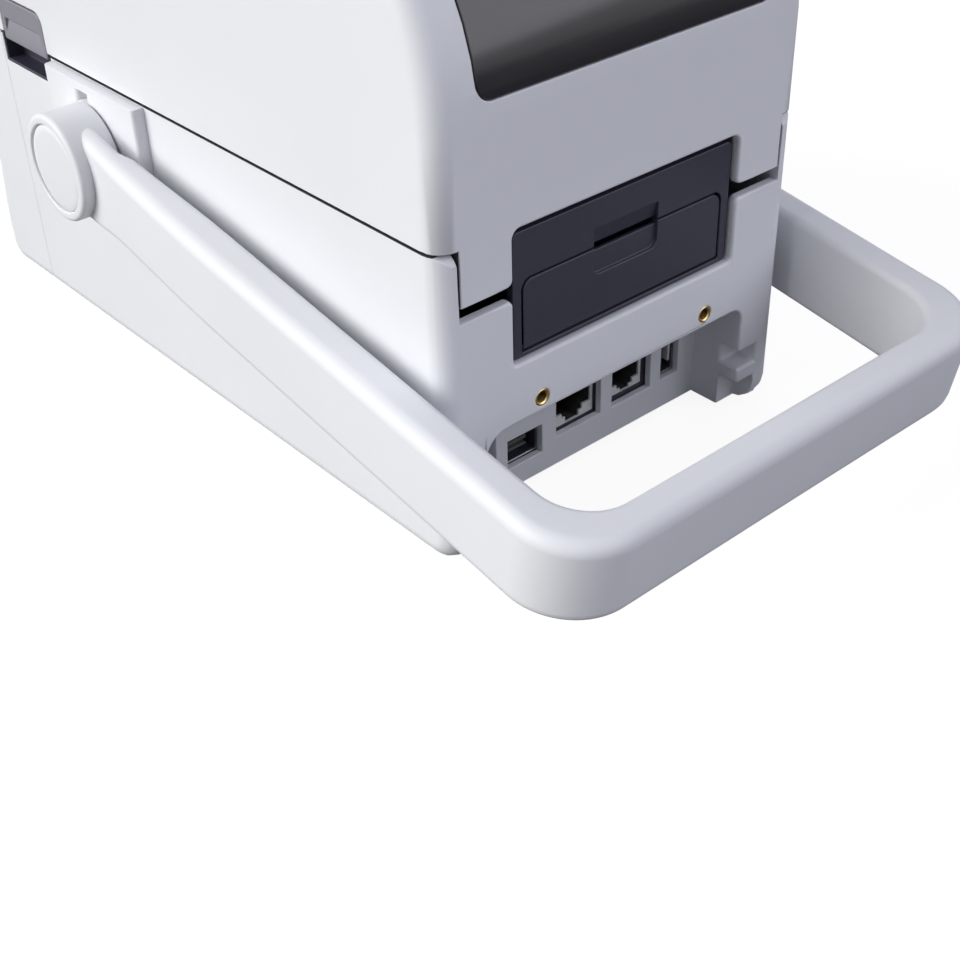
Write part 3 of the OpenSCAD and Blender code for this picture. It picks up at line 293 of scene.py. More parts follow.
def prism(name, loops, start, end, look, ease=0.0, stands_for=(), axis="Y"):
    """A prism in the case, along an axis from start to end, whose section is the first loop of points less
    the other loops. A point (u, v) stands for (X, Z) along Y and for (Y, Z) along X. Its ends are
    tessellated."""
    loops = [np.asarray(loop, float) for loop in loops]
    flat = np.concatenate(loops)
    u, v = flat.T
    n = len(flat)
    rings = []
    for level in (np.full(n, start), np.full(n, end)):
        rings.append(np.stack([level, u, v] if axis == "X" else [u, level, v], -1))
    caps = tessellate_polygon([[Vector((*q, 0)) for q in loop] for loop in loops])
    faces = [list(t) for t in caps] + [[i + n for i in t] for t in caps]
    first = 0
    for loop in loops:
        k = np.arange(len(loop))
        a, b = first + k, first + (k + 1) % len(loop)
        faces += np.stack([a, b, b + n, a + n], -1).tolist()
        first += len(loop)
    mesh = built_mesh(name, np.concatenate(rings), faces, finish(look), FLAT)
    piece = place(name, mesh, stands_for, "case")
    if ease:
        ease_edges(piece, ease)


# Shader nodes

# A colour mix's sockets, which share their names with those of its other kinds.
MIX_FIRST, MIX_SECOND, MIX_RESULT = 6, 7, 2


def shader(name):
    """A material that holds a Principled shader alone, its tree and that shader."""
    material = bpy.data.materials.new(name)
    material.use_nodes = True
    tree = material.node_tree
    tree.nodes.clear()
    out = tree.nodes.new("ShaderNodeOutputMaterial")
    skin = tree.nodes.new("ShaderNodeBsdfPrincipled")
    tree.links.new(skin.outputs[0], out.inputs[0])
    return material, tree, skin


def node(tree, kind, **values):
    """A new node, with plain values for its sockets or its settings."""
    made = tree.nodes.new(kind)
    for key, value in values.items():
        if key in made.inputs:
            made.inputs[key].default_value = value
        else:
            setattr(made, key, value)
    return made


def feed(tree, source, socket):
    """Gives a socket another node's output, or a plain value."""
    if isinstance(source, bpy.types.NodeSocket):
        tree.links.new(source, socket)
    else:
        socket.default_value = source


def maths(tree, operation, *values):
    """A maths node's result on outputs or numbers."""
    made = node(tree, "ShaderNodeMath", operation=operation)
    for value, socket in zip(values, made.inputs):
        feed(tree, value, socket)
    return made.outputs[0]


def blend(tree, share, first, second):
    """Two colours mixed: the share is that of the second."""
    made = node(tree, "ShaderNodeMix", data_type="RGBA")
    feed(tree, share, made.inputs[0])
    feed(tree, first, made.inputs[MIX_FIRST])
    feed(tree, second, made.inputs[MIX_SECOND])
    return made.outputs[MIX_RESULT]


def noise(tree, scale, detail=3.0, rough=0.55, stretch=(1, 1, 1)):
    """Noise on the object's own coordinates: scale is the count of lumps per metre, and stretch makes them
    narrower along an axis."""
    where = node(tree, "ShaderNodeTexCoord")
    turn = node(tree, "ShaderNodeMapping", Scale=stretch)
    tree.links.new(where.outputs["Object"], turn.inputs["Vector"])
    made = node(tree, "ShaderNodeTexNoise", Scale=scale, Detail=detail, Roughness=rough)
    tree.links.new(turn.outputs[0], made.inputs["Vector"])
    return made.outputs["Fac"]


def ramp(tree, source, stops):
    """A ramp through the stops (position, colour)."""
    made = tree.nodes.new("ShaderNodeValToRGB")
    elements = made.color_ramp.elements
    while len(elements) > 1:
        elements.remove(elements[-1])
    for k, (at, colour) in enumerate(stops):
        e = elements[0] if k == 0 else elements.new(at)
        e.position = at
        e.color = (*colour, 1)
    tree.links.new(source, made.inputs[0])
    return made.outputs[0]


def span(tree, source, low_value, high_value):
    """A source from 0 to 1 stretched to run from the low value to the high one."""
    made = node(tree, "ShaderNodeMapRange", **{"To Min": low_value, "To Max": high_value})
    tree.links.new(source, made.inputs["Value"])
    return made.outputs[0]


def bumps(tree, skin, layers):
    """Stacks bump nodes, one for each (height source, strength, distance)."""
    last = None
    for height, strength, distance in layers:
        b = node(tree, "ShaderNodeBump", Strength=strength, Distance=distance)
        tree.links.new(height, b.inputs["Height"])
        if last is not None:
            tree.links.new(last, b.inputs["Normal"])
        last = b.outputs[0]
    tree.links.new(last, skin.inputs["Normal"])


# Finishes

def moulded_plastic(name, colour, depth=0.02, rough=(0.42, 0.55), vary=0.03, specular=0.45, coat=0.0):
    """Injection-moulded plastic: a fine spark-eroded grain and a faint wave in the bump, slow drifts of tone,
    and uneven gloss where hands have polished it."""
    material, tree, skin = shader(name)
    c = np.array(colour)
    stops = [(0.3, c * (1 - vary)), (0.55, c), (0.75, np.minimum(c * (1 + vary * 0.6), 1))]
    drift = noise(tree, 14.0, 2.0)
    tree.links.new(ramp(tree, drift, stops), skin.inputs["Base Color"])
    worn = noise(tree, 55.0, 4.0)
    tree.links.new(span(tree, worn, *rough), skin.inputs["Roughness"])
    grain = noise(tree, 2600.0, 2.0, 0.6)
    wave = noise(tree, 30.0, 1.0)
    bumps(tree, skin, [(wave, 0.04, 0.6 * MM), (grain, depth * 5, 0.04 * MM)])
    skin.inputs["Specular IOR Level"].default_value = specular
    skin.inputs["Coat Weight"].default_value = coat
    skin.inputs["Coat Roughness"].default_value = 0.08
    return material


def paint_seam_shade(material, comparison, z, past_x=0.0):
    """Paints shade on the mating face at the seam, a near black for the shadow in the gap between case and
    cover:
    what lies above the level z (GREATER_THAN) or below it (LESS_THAN), and further than past_x from the
    printer's middle."""
    tree = material.node_tree
    skin = next(n for n in tree.nodes if n.type == "BSDF_PRINCIPLED")
    white = skin.inputs["Base Color"].links[0].from_socket
    split = tree.nodes.new("ShaderNodeSeparateXYZ")
    tree.links.new(tree.nodes.new("ShaderNodeTexCoord").outputs["Object"], split.inputs[0])
    x, _, height = split.outputs
    level = maths(tree, comparison, height, z)
    outside = maths(tree, "GREATER_THAN", maths(tree, "ABSOLUTE", x), past_x)
    # The painted seam shade: a near-black colour laid over the white wherever the mask holds.
    dark = blend(tree, maths(tree, "MULTIPLY", level, outside), white, (0.045, 0.045, 0.05, 1))
    tree.links.new(dark, skin.inputs["Base Color"])
    return material


def smoked_plastic(name, colour):
    """Polished smoked acrylic: a dark body under a clear gloss, with faint haze and hairline scuffs."""
    material, tree, skin = shader(name)
    c = np.array(colour)
    haze = noise(tree, 9.0, 3.0)
    tree.links.new(ramp(tree, haze, [(0.3, c * 0.9), (0.7, c * 1.12)]), skin.inputs["Base Color"])
    scuff = noise(tree, 420.0, 6.0, 0.7, (1, 6, 1))
    tree.links.new(span(tree, scuff, 0.09, 0.2), skin.inputs["Roughness"])
    bumps(tree, skin, [(noise(tree, 16.0, 1.0), 0.05, 0.8 * MM)])
    skin.inputs["Specular IOR Level"].default_value = 0.5
    skin.inputs["Transmission Weight"].default_value = 0.12
    skin.inputs["IOR"].default_value = 1.49
    return material


def rubber_finish(name, colour):
    """Matt rubber with a dusty bloom in its pores."""
    material, tree, skin = shader(name)
    c = np.array(colour)
    dust = noise(tree, 700.0, 5.0, 0.65)
    tree.links.new(ramp(tree, dust, [(0.35, c), (0.75, c * 1.8 + 0.01)]), skin.inputs["Base Color"])
    tree.links.new(span(tree, dust, 0.72, 0.92), skin.inputs["Roughness"])
    bumps(tree, skin, [(dust, 0.2, 0.08 * MM)])
    skin.inputs["Specular IOR Level"].default_value = 0.3
    return material


def bare_metal(name, colour, rough=(0.24, 0.42), tarnish=0.12):
    """Bare or plated metal: streaks drawn along X in its gloss and bump, with a slow tarnish in its tone."""
    material, tree, skin = shader(name)
    c = np.array(colour)
    cloud = noise(tree, 40.0, 4.0)
    tree.links.new(ramp(tree, cloud, [(0.3, c * (1 - tarnish)), (0.65, c)]), skin.inputs["Base Color"])
    streak = noise(tree, 260.0, 3.0, 0.6, (1, 18, 18))
    tree.links.new(span(tree, streak, *rough), skin.inputs["Roughness"])
    bumps(tree, skin, [(streak, 0.08, 0.03 * MM)])
    skin.inputs["Metallic"].default_value = 1.0
    return material


def solder_mask(name, colour):
    """A circuit board's green mask, with copper tracks showing through as a paler lattice."""
    material, tree, skin = shader(name)
    c = np.array(colour)
    where = node(tree, "ShaderNodeTexCoord")
    tracks = node(tree, "ShaderNodeTexBrick", Scale=90.0, Color1=(*c, 1), Color2=(*(c * 0.85), 1),
        Mortar=(*(c * 1.9 + 0.01), 1), **{"Mortar Size": 0.03})
    tree.links.new(where.outputs["Object"], tracks.inputs["Vector"])
    tree.links.new(tracks.outputs["Color"], skin.inputs["Base Color"])
    tree.links.new(span(tree, noise(tree, 200.0), 0.25, 0.4), skin.inputs["Roughness"])
    return material


def glowing_lens(name, colour):
    """A frosted lens that lets some light through."""
    material, tree, skin = shader(name)
    c = np.array(colour)
    frost = noise(tree, 900.0, 3.0)
    tree.links.new(ramp(tree, frost, [(0.3, c * 0.8), (0.7, c)]), skin.inputs["Base Color"])
    tree.links.new(span(tree, frost, 0.25, 0.4), skin.inputs["Roughness"])
    skin.inputs["Transmission Weight"].default_value = 0.3
    return material


def white_moulding(name):
    return moulded_plastic(name, bpy.context.scene.label_printer_finishes.case_colour, vary=0.015)


def glazed(name, colour, coat=0.0):
    """A smooth glossy skin, as on a panel or a glaze."""
    return moulded_plastic(name, colour, depth=0.002, rough=(0.12, 0.2), vary=0.1, coat=coat)


FINISHES = {}


def finish(word):
    """A finish by its word, a material slot or a kind of its own, made once from the panel's colours."""
    if word in FINISHES:
        return FINISHES[word]
    look = bpy.context.scene.label_printer_finishes
    makers = {
        "white_case": lambda: white_moulding("white_moulding"),
        # The case's and the cover's shells carry painted shade on their mating faces at the seam.
        "case_shell": lambda: paint_seam_shade(
            white_moulding("white_case_shell_painted_seam_shade"), "GREATER_THAN", SEAM_Z - SEAM_EDGE),
        "cover_shell": lambda: paint_seam_shade(
            white_moulding("white_cover_shell_painted_seam_shade"), "LESS_THAN", SEAM_Z + SEAM + SEAM_EDGE, POST_X),
        "black_plastic": lambda: moulded_plastic(
            "black_moulding", look.black_colour, rough=(0.36, 0.5), vary=0.12),
        # Black plastic painted darker still and less glossy, as painted shade inside the jacks.
        "jack_black_painted_shade": lambda: moulded_plastic(
            "jack_inside_painted_shade", (0.004, 0.004, 0.005), rough=(0.5, 0.65), vary=0.1, specular=0.2),
        "smoked_window": lambda: smoked_plastic("smoked_acrylic", look.window_colour),
        "gloss_panel": lambda: glazed("black_gloss", (0.012, 0.012, 0.014), 0.5),
        "grey_plastic": lambda: moulded_plastic("grey_moulding", look.lever_colour, vary=0.05),
        "dark_liner": lambda: moulded_plastic(
            "liner_moulding", (0.03, 0.03, 0.033), rough=(0.5, 0.65), vary=0.1),
        "rubber": lambda: rubber_finish("black_rubber", (0.022, 0.022, 0.024)),
        "steel": lambda: bare_metal("zinc_plate", (0.62, 0.63, 0.65)),
        "aluminium": lambda: bare_metal("drawn_aluminium", (0.74, 0.75, 0.77), (0.3, 0.45)),
        "ceramic": lambda: glazed("glazed_ceramic", (0.16, 0.11, 0.08)),
        "brass": lambda: bare_metal("turned_brass", look.brass_colour, (0.22, 0.36), 0.25),
        "circuit_board": lambda: solder_mask("solder_mask", (0.012, 0.075, 0.035)),
        "natural_plastic": lambda: moulded_plastic("natural_nylon", (0.62, 0.6, 0.52), vary=0.04),
        "clear_lens": lambda: glowing_lens("frosted_lens", (0.35, 0.75, 0.45)),
        "jack_plastic": lambda: moulded_plastic(
            "jack_housing", look.jack_colour, rough=(0.4, 0.55), vary=0.04),
        # Tarnished brass, painted darker still as shade, for the inserts' bores.
        "bore_brass_tarnish_and_shade": lambda: bare_metal("tarnished_and_shaded_brass", (0.16, 0.105, 0.045), (0.3, 0.5), 0.4),
        "jack_grey": lambda: moulded_plastic(
            "jack_tongue", (0.10, 0.105, 0.10), rough=(0.4, 0.55), vary=0.06),
        "gold": lambda: bare_metal("contact_gold", (0.95, 0.68, 0.28), (0.18, 0.3), 0.08),
    }
    FINISHES[word] = makers[word]()
    return FINISHES[word]


# Panel values

def colour_value(name, description, default):
    return bpy.props.FloatVectorProperty(
        name=name, description=description, subtype="COLOR", size=3, min=0, max=1, default=default)


def length_value(name, description, default, least, most):
    """A length of the panel. The last three are in millimetres."""
    return bpy.props.FloatProperty(
        name=name, description=description, subtype="DISTANCE", unit="LENGTH", default=default * MM,
        min=least * MM, max=most * MM)


def plain_value(name, description, default, least, most):
    return bpy.props.FloatProperty(name=name, description=description, default=default, min=least, max=most)


class PrinterFinishes(bpy.types.PropertyGroup):
    case_colour: colour_value("Case", "Colour of the white mouldings", (0.80, 0.81, 0.84))
    black_colour: colour_value("Black parts", "Colour of the black mouldings", (0.036, 0.035, 0.055))
    window_colour: colour_value("Window", "Tint of the smoked window", (0.022, 0.020, 0.024))
    lever_colour: colour_value("Levers", "Colour of the levers, buttons and media guides", (0.25, 0.24, 0.28))
    jack_colour: colour_value("Jacks", "Colour of the pale plastic inside the jacks", (0.72, 0.72, 0.70))
    brass_colour: colour_value("Brass", "Colour of the brass inserts", (0.80, 0.58, 0.24))


class PrinterShapes(bpy.types.PropertyGroup):
    edge: length_value("Moulded edge", "Radius that breaks the sharp edges of the mouldings", 0.3, 0.05, 1)
    bail_round: length_value("Bail outer edge", "Rounding of the bail's outer edges", 3.5, 1, 4.4)
    bail_ease: length_value("Bail inner edge", "Rounding of the bail's inner edges", 2.0, 0.5, 4)
    window_edge: length_value("Window edge", "Polished radius round the smoked window", 0.35, 0.1, 1)


class PrinterStage(bpy.types.PropertyGroup):
    key_light: plain_value(
        "Key light", "Strength of the large soft light from the printer's right", 3.15, 0, 10)
    back_light: plain_value(
        "Back light", "Strength of the soft light from behind, on the printer's left", 1.15, 0, 10)
    fill_light: plain_value("Fill light", "Strength of the even light from all round", 0.21, 0, 2)
    floor_colour: colour_value("Floor", "Colour of the floor", (0.2, 0.2, 0.2))
    focal: plain_value(
        "Focal length", "Focal length of the camera on a 36 mm sensor, in millimetres", 56.534, 20, 200)


# Case and cover

class LABEL_PRINTER_OT_case(bpy.types.Operator):
    """Case, front bezel, base and feet, with moulded edges"""
    bl_idname = "label_printer.case"
    bl_label = "Case"

    def execute(self, context):
        edge = context.scene.label_printer_shapes.edge
        back, bay_x = high("lower_case")[1], 41 * MM
        face, past = back - 0.3 * MM, back + 1 * MM
        frame_low, frame_high = low("door_frame"), high("door_frame")
        # Softer edges round the black frame's place, the port bay's mouth, and the leg with its cord hooks.
        frame_place = ((frame_low[0] - 2 * MM, face, frame_low[2] - 2 * MM), frame_high + 3 * MM, 0.9 * MM)
        mouth = ((-bay_x - 0.3 * MM, face, 20 * MM), (bay_x + 4 * MM, past, 34 * MM), 0.8 * MM)
        hooks = ((-bay_x - 7 * MM, back - 6.4 * MM, 10 * MM), (-bay_x + 0.2 * MM, past, 20.3 * MM), 0.9 * MM)
        soft = [level_zone(SEAM_Z, SEAM_EDGE), frame_place, mouth, hooks]
        # The case shell's finish paints shade on its mating face at the seam.
        softened("lower_case", finish("case_shell"), edge, 3, zones=soft)
        soften_all(["front_bezel"], edge)
        soften_all(("base_plate", "rubber_feet", "base_screws", "finger_cups"), edge * 0.8)
        for word, side in (("left", -1), ("right", 1)):
            # Only the pad's outer edges are rounded.
            x0, x1 = sorted((side * PAD_ROUND_X, side))
            outer = [((x0, -1, 0), (x1, 1, 1), 1.2 * MM)]
            softened("handle_mount_" + word, finish("white_case"), 0.03 * MM, 3, radians(60), outer)
        return {"FINISHED"}


class LABEL_PRINTER_OT_cover(bpy.types.Operator):
    """Cover, smoked window, liner and hinge"""
    bl_idname = "label_printer.cover"
    bl_label = "Cover"

    def execute(self, context):
        shapes = context.scene.label_printer_shapes
        back, frame_x = high("cover_shell")[1], high("door_frame")[0] + 3 * MM
        # Softer edges round the notch over the black frame.
        notch = ((-frame_x, back - 0.3 * MM, 66 * MM), (frame_x, back + MM, 83 * MM), 0.8 * MM)
        # The edges of the reliefs over the hinge posts stay sharp: they are lower than any moulded radius.
        reliefs = []
        for side in (-1, 1):
            x0, x1 = sorted((side * (POST_X - 0.2 * MM), side))
            reliefs.append(((x0, back - 12 * MM, SEAM_Z), (x1, back + MM, SEAM_Z + 1.2 * MM), 0))
        soft = [level_zone(SEAM_Z + SEAM, SEAM_EDGE), notch, *reliefs]
        # The cover shell's finish paints shade on its mating face at the seam, beside the hinge posts.
        softened("cover_shell", finish("cover_shell"), shapes.edge, 3, zones=soft)
        soften_all(["cover_window"], shapes.window_edge)
        soften_all(("cover_liner", "hinge_arms", "hinge_pins"), shapes.edge)
        return {"FINISHED"}


# Bail

# The stations along an arm, dense near the hub.
ARM_ROWS = np.concatenate([np.linspace(0, 32, 33), np.linspace(36, 160, 14)]) * MM


def eased(d, start, length):
    """A smooth step down: 1 up to the distance `start`, and 0 from `length` further on."""
    s = np.clip((d - start) / length, 0, 1)
    return 1 - s * s * (3 - 2 * s)


def bail_path(reach, bend, arm, drawn_in):
    """The U of the bail seen from above in its own level frame, at half width `arm` and cross bar distance
    `reach`: arms drawn in by an array of distances along ARM_ROWS, quarter bends of radius `bend`, and the
    cross bar, as (X, distance from the pivot)."""
    right = np.stack([arm - drawn_in, ARM_ROWS], -1)
    t = np.linspace(0, pi / 2, 18)
    turn = np.stack([arm - bend + bend * np.cos(t), reach - bend + bend * np.sin(t)], -1)
    bar = np.linspace(arm - bend, 0, 7)[1:]
    half = np.concatenate([right, turn, np.stack([bar, np.full(len(bar), reach)], -1)])
    return np.concatenate([half, (half * [-1, 1])[::-1][1:]])


def bail_bow(outer_round, inner_round):
    """The bail's points and faces: a rounded section between its inner and its outer path, tilted down to the
    table. Near the hub the arm is thinner and a little higher, and its inner face steps clear of the pad."""
    clear = -(2 * eased(ARM_ROWS, 17 * MM, 7 * MM) + eased(ARM_ROWS, 20 * MM, 40 * MM)) * MM
    slimmer = 1.6 * MM * eased(ARM_ROWS, 8 * MM, 60 * MM)
    inner = bail_path(REACH - BAR_T, BEND_IN, ARM_IN, clear)
    outer = bail_path(REACH, BEND_OUT, ARM_OUT, slimmer)
    across = outer - inner
    thick = np.linalg.norm(across, axis=1)
    unit = across / thick[:, None]
    heights = BAIL_H + 2.6 * MM * eased(np.minimum(inner[:, 1], 60 * MM), 6 * MM, 22 * MM)
    rings = []
    for k in range(len(inner)):
        outer_r, inner_r = min(outer_round, 0.6 * thick[k]), min(inner_round, 0.35 * thick[k])
        ring = rounded_section(thick[k], heights[k], (outer_r, inner_r, inner_r, outer_r))
        flat = (inner[k] + outer[k]) / 2 + ring[:, :1] * unit[k]
        rings.append(np.column_stack([flat, ring[:, 1]]))
    rows, cols = len(rings), len(rings[0])
    x, along, up = np.concatenate(rings).T
    faces = [list(f) for f in grid_faces(rows, cols, close_cols=True)]
    faces.append(list(range(cols)))
    faces.append(list(range((rows - 1) * cols, rows * cols))[::-1])
    y = along * cos(DROP) - up * sin(DROP) + PIVOT[1]
    z = along * sin(DROP) + up * cos(DROP) + PIVOT[2]
    return np.column_stack([x, y, z]), faces


def hub_profile():
    """The hub: a disc with a rounded rim, a ring groove for the cap, and a bore."""
    t = np.linspace(0, pi / 2, 6)
    rim = np.stack([HUB_OUT - HUB_RIM + HUB_RIM * np.sin(t), HUB_R - HUB_RIM + HUB_RIM * np.cos(t)], -1)
    groove_in, ease = HUB_OUT - 2 * MM, 0.3 * MM
    return [(ARM_IN, HUB_BORE), (ARM_IN, HUB_R), *rim, (HUB_OUT, GROOVE_R + ease), (HUB_OUT - ease, GROOVE_R),
        (groove_in, GROOVE_R), (groove_in, HUB_BORE), (ARM_IN, HUB_BORE)]


def cap_profile():
    """The cap: a shallow dome with a soft rim."""
    dome = np.linspace(1, 0, 8)
    crown = np.stack([HUB_OUT - 0.45 * MM + 0.35 * MM * (1 - dome * dome), CAP_R * dome * 0.96], -1)
    seat = HUB_OUT - 1.9 * MM
    return [(seat, 0), (seat, CAP_R), (HUB_OUT - 0.8 * MM, CAP_R), *crown]


class LABEL_PRINTER_OT_bail(bpy.types.Operator):
    """Carrying bail with its hubs, caps, axles and washers"""
    bl_idname = "label_printer.bail"
    bl_label = "Carrying bail"

    def execute(self, context):
        shapes = context.scene.label_printer_shapes
        white = finish("white_case")
        bow = add_piece("bail_bow", *bail_bow(shapes.bail_round, shapes.bail_ease), white, ("handle_bail",))
        even_shading(bow)
        for word, side in (("right", 1), ("left", -1)):
            verts, faces = turned_about_x(hub_profile(), side)
            hub = add_piece("bail_hub_" + word, verts, faces, white, (), "handle", "white_case")
            ease_edges(hub, 0.15 * MM)
            verts, faces = turned_about_x(cap_profile(), side)
            add_piece("hub_cap_dome_" + word, verts, faces, white, ("hub_cap_" + word,))
            soften_all(["handle_axle_" + word], 0.2 * MM)
        soften_all(["friction_washers"], 0.02 * MM)
        return {"FINISHED"}


class LABEL_PRINTER_OT_levers(bpy.types.Operator):
    """Release levers at both sides of the cover"""
    bl_idname = "label_printer.levers"
    bl_label = "Release levers"

    def execute(self, context):
        soften_all(("latch_lever_left", "latch_lever_right"), 0.4 * MM, 3)
        return {"FINISHED"}


class LABEL_PRINTER_OT_rear_door(bpy.types.Operator):
    """Black rear frame and its media door"""
    bl_idname = "label_printer.rear_door"
    bl_label = "Rear door"

    def execute(self, context):
        soften_all(("door_frame", "rear_door"), 0.25 * MM)
        return {"FINISHED"}


# Ports

# A socket laps this far behind the edges of its hole in the case.
LAP = 0.8 * MM


def hole_edges(node_name, height):
    """The edges x0, x1, z0, z1 of a socket's hole in the case. The height is from the socket's top to the
    hole's lower edge."""
    lo, hi = low(node_name), high(node_name)
    return lo[0] + LAP, hi[0] - LAP, hi[2] - height, hi[2] - LAP


def stepped_opening(x0, x1, z0, z1, rim):
    """The opening of a modular jack's pale mouth: a narrow strip at each side, wider at the top, and two
    steps in each lower corner. Distances are from the edges of the hole in the case."""
    strip, lip, first, second = rim + 0.9 * MM, rim + 1.35 * MM, 4.1 * MM, 5.3 * MM
    floor, lower, upper, shoulder, top = (
        z0 + rim + 0.25 * MM, z0 + 2.3 * MM, z0 + 3.6 * MM, z0 + 9 * MM, z1 - 0.3 * MM)
    left = [(lip, top), (lip, shoulder), (strip, shoulder), (strip, upper), (first, upper), (first, lower),
        (second, lower), (second, floor)]
    return [(x0 + d, z) for d, z in left] + [(x1 - d, z) for d, z in left[::-1]]


def modular_jack(name, height, ways, rim):
    """A modular jack: a black housing whose rim frames a pale stepped mouth, black plastic inside that is
    painted darker still as shade, with a row of gold contacts."""
    lo, hi = low(name), high(name)
    x0, x1, z0, z1 = hole_edges(name, height)
    back, front, fit, roof = lo[1], hi[1], 0.02 * MM, 0.2 * MM
    outer = rectangle(lo[0], hi[0], lo[2], hi[2])
    window = rectangle(x0 + rim, x1 - rim, z0 + rim, z1 - roof)
    plate = rectangle(x0 + rim + fit, x1 - rim - fit, z0 + rim + fit, z1 - roof - fit)
    mouth = stepped_opening(x0, x1, z0, z1, rim)
    prism(name + "_housing", [outer, window], front - 1.2 * MM, front, "black_plastic",
        0.12 * MM, (name,))
    prism(name + "_mouth", [plate, mouth], front - 0.9 * MM, front - 0.25 * MM, "jack_plastic",
        0.08 * MM)
    # The jack's inside and back: black plastic, with painted shade making it darker than the housing.
    prism(name + "_body", [outer, mouth], back + 2 * MM, front - 1.21 * MM, "jack_black_painted_shade")
    prism(name + "_back", [outer], back, back + 1.99 * MM, "jack_black_painted_shade")
    # Each contact is a bent wire: flat under the roof, then sloping down towards the back.
    bent = [(-4, 0), (-6, 0), (-11, -4.6), (-11.4, -4.3), (-6.2, -0.5), (-4, -0.5)]
    wire = np.array(bent) * MM + (front, hi[2] - 1.3 * MM)
    pitch, half = 1.02 * MM, 0.22 * MM
    for k in range(ways):
        x = (lo[0] + hi[0]) / 2 + (k - (ways - 1) / 2) * pitch
        prism("%s_contact_%d" % (name, k), [wire], x - half, x + half, "gold", 0.06 * MM, axis="X")


def usb_can(name, height):
    """A folded steel can, closed at the back by black plastic and lined inside with black plastic as painted
    shade for its dark inside. Gives the edges of its hole in the case, and then its back and its front."""
    lo, hi = low(name), high(name)
    x0, x1, z0, z1 = hole_edges(name, height)
    back, front, bend, wall = lo[1], hi[1], 0.1 * MM, 0.5 * MM
    outer = soft_rectangle(lo[0], hi[0], lo[2], hi[2], 0.5 * MM)
    inner = soft_rectangle(x0 + bend, x1 - bend, z0 + bend, z1 - bend, 0.4 * MM)
    shade_lining = soft_rectangle(x0 + wall, x1 - wall, z0 + wall, z1 - 0.4 * MM, 0.3 * MM)
    prism(name + "_can", [outer, inner], back, front - 0.05 * MM, "steel", 0.14 * MM, (name,))
    # A black lining over the can's inner walls: painted shade for the socket's shadowed inside.
    prism(name + "_lining", [inner, shade_lining], back + 3.01 * MM, front, "black_plastic",
        0.1 * MM)
    prism(name + "_back", [inner], back + 0.1 * MM, back + 3 * MM, "black_plastic")
    return x0, x1, z0, z1, back, front


# The square port's tongue in millimetres: (name, finish, half width, middle below the hole's top, height and
# distance behind the front).
USB_B_TONGUE = (
    ("core", "black_plastic", 3.1, 4.8, 2.4, 1.9), ("upper", "jack_grey", 3.3, 3.9, 0.9, 1.2),
    ("lower", "jack_grey", 3.3, 5.8, 0.6, 1.2), ("key", "jack_grey", 2.3, 1.9, 0.6, 1.2),
)


def usb_b_port():
    """The square device port: a grooved tongue with contacts, and a slim key over it."""
    x0, x1, _, z1, back, front = usb_can("usb_b_socket", 8.7 * MM)
    middle = (x0 + x1) / 2
    for name, look, half, below, tall, behind in USB_B_TONGUE:
        z, h = z1 - below * MM, tall / 2 * MM
        bar = soft_rectangle(middle - half * MM, middle + half * MM, z - h, z + h, 0.2 * MM, 3)
        prism("usb_b_tongue_" + name, [bar], back + 2 * MM, front - behind * MM, look,
            0.1 * MM)
    z, half_w, half_h = z1 - 6.15 * MM, 0.7 * MM, 0.09 * MM
    for k, x in enumerate((middle - 1.2 * MM, middle + 1.2 * MM)):
        strip = soft_rectangle(x - half_w, x + half_w, z - half_h, z + half_h, 0.06 * MM, 3)
        prism("usb_b_contact_%d" % k, [strip], back + 2.5 * MM, front - 2.2 * MM, "gold")


def usb_a_port():
    """The upright host port: its black tongue stands on edge, with a bright spring lip at the other side."""
    x0, _, z0, z1, back, front = usb_can("usb_a_socket", 14 * MM)
    tongue = soft_rectangle(x0 + 2.1 * MM, x0 + 3.9 * MM, z0 + 1.3 * MM, z1 - 1.3 * MM, 0.2 * MM, 3)
    prism("usb_a_tongue", [tongue], back + 2 * MM, front - 1.4 * MM, "black_plastic",
        0.12 * MM)
    lip = soft_rectangle(x0 + 0.55 * MM, x0 + 1.35 * MM, z0 + 2.3 * MM, z1 - 0.9 * MM, 0.2 * MM, 3)
    prism("usb_a_lip", [lip], front - 4 * MM, front - 0.3 * MM, "jack_plastic", 0.12 * MM)
    dimple = circle(x0 + 2.9 * MM, z1 - 2.9 * MM, 0.7 * MM)
    prism("usb_a_dimple", [dimple], front - 1.45 * MM, front - 1.2 * MM, "jack_plastic", 0.1 * MM)
    for k in range(4):
        z = (z0 + z1) / 2 + (k - 1.5) * 2.5 * MM
        strip = soft_rectangle(x0 + 3.88 * MM, x0 + 4.02 * MM, z - 0.6 * MM, z + 0.6 * MM, 0.05 * MM, 3)
        prism("usb_a_contact_%d" % k, [strip], back + 2.5 * MM, front - 2 * MM, "gold")


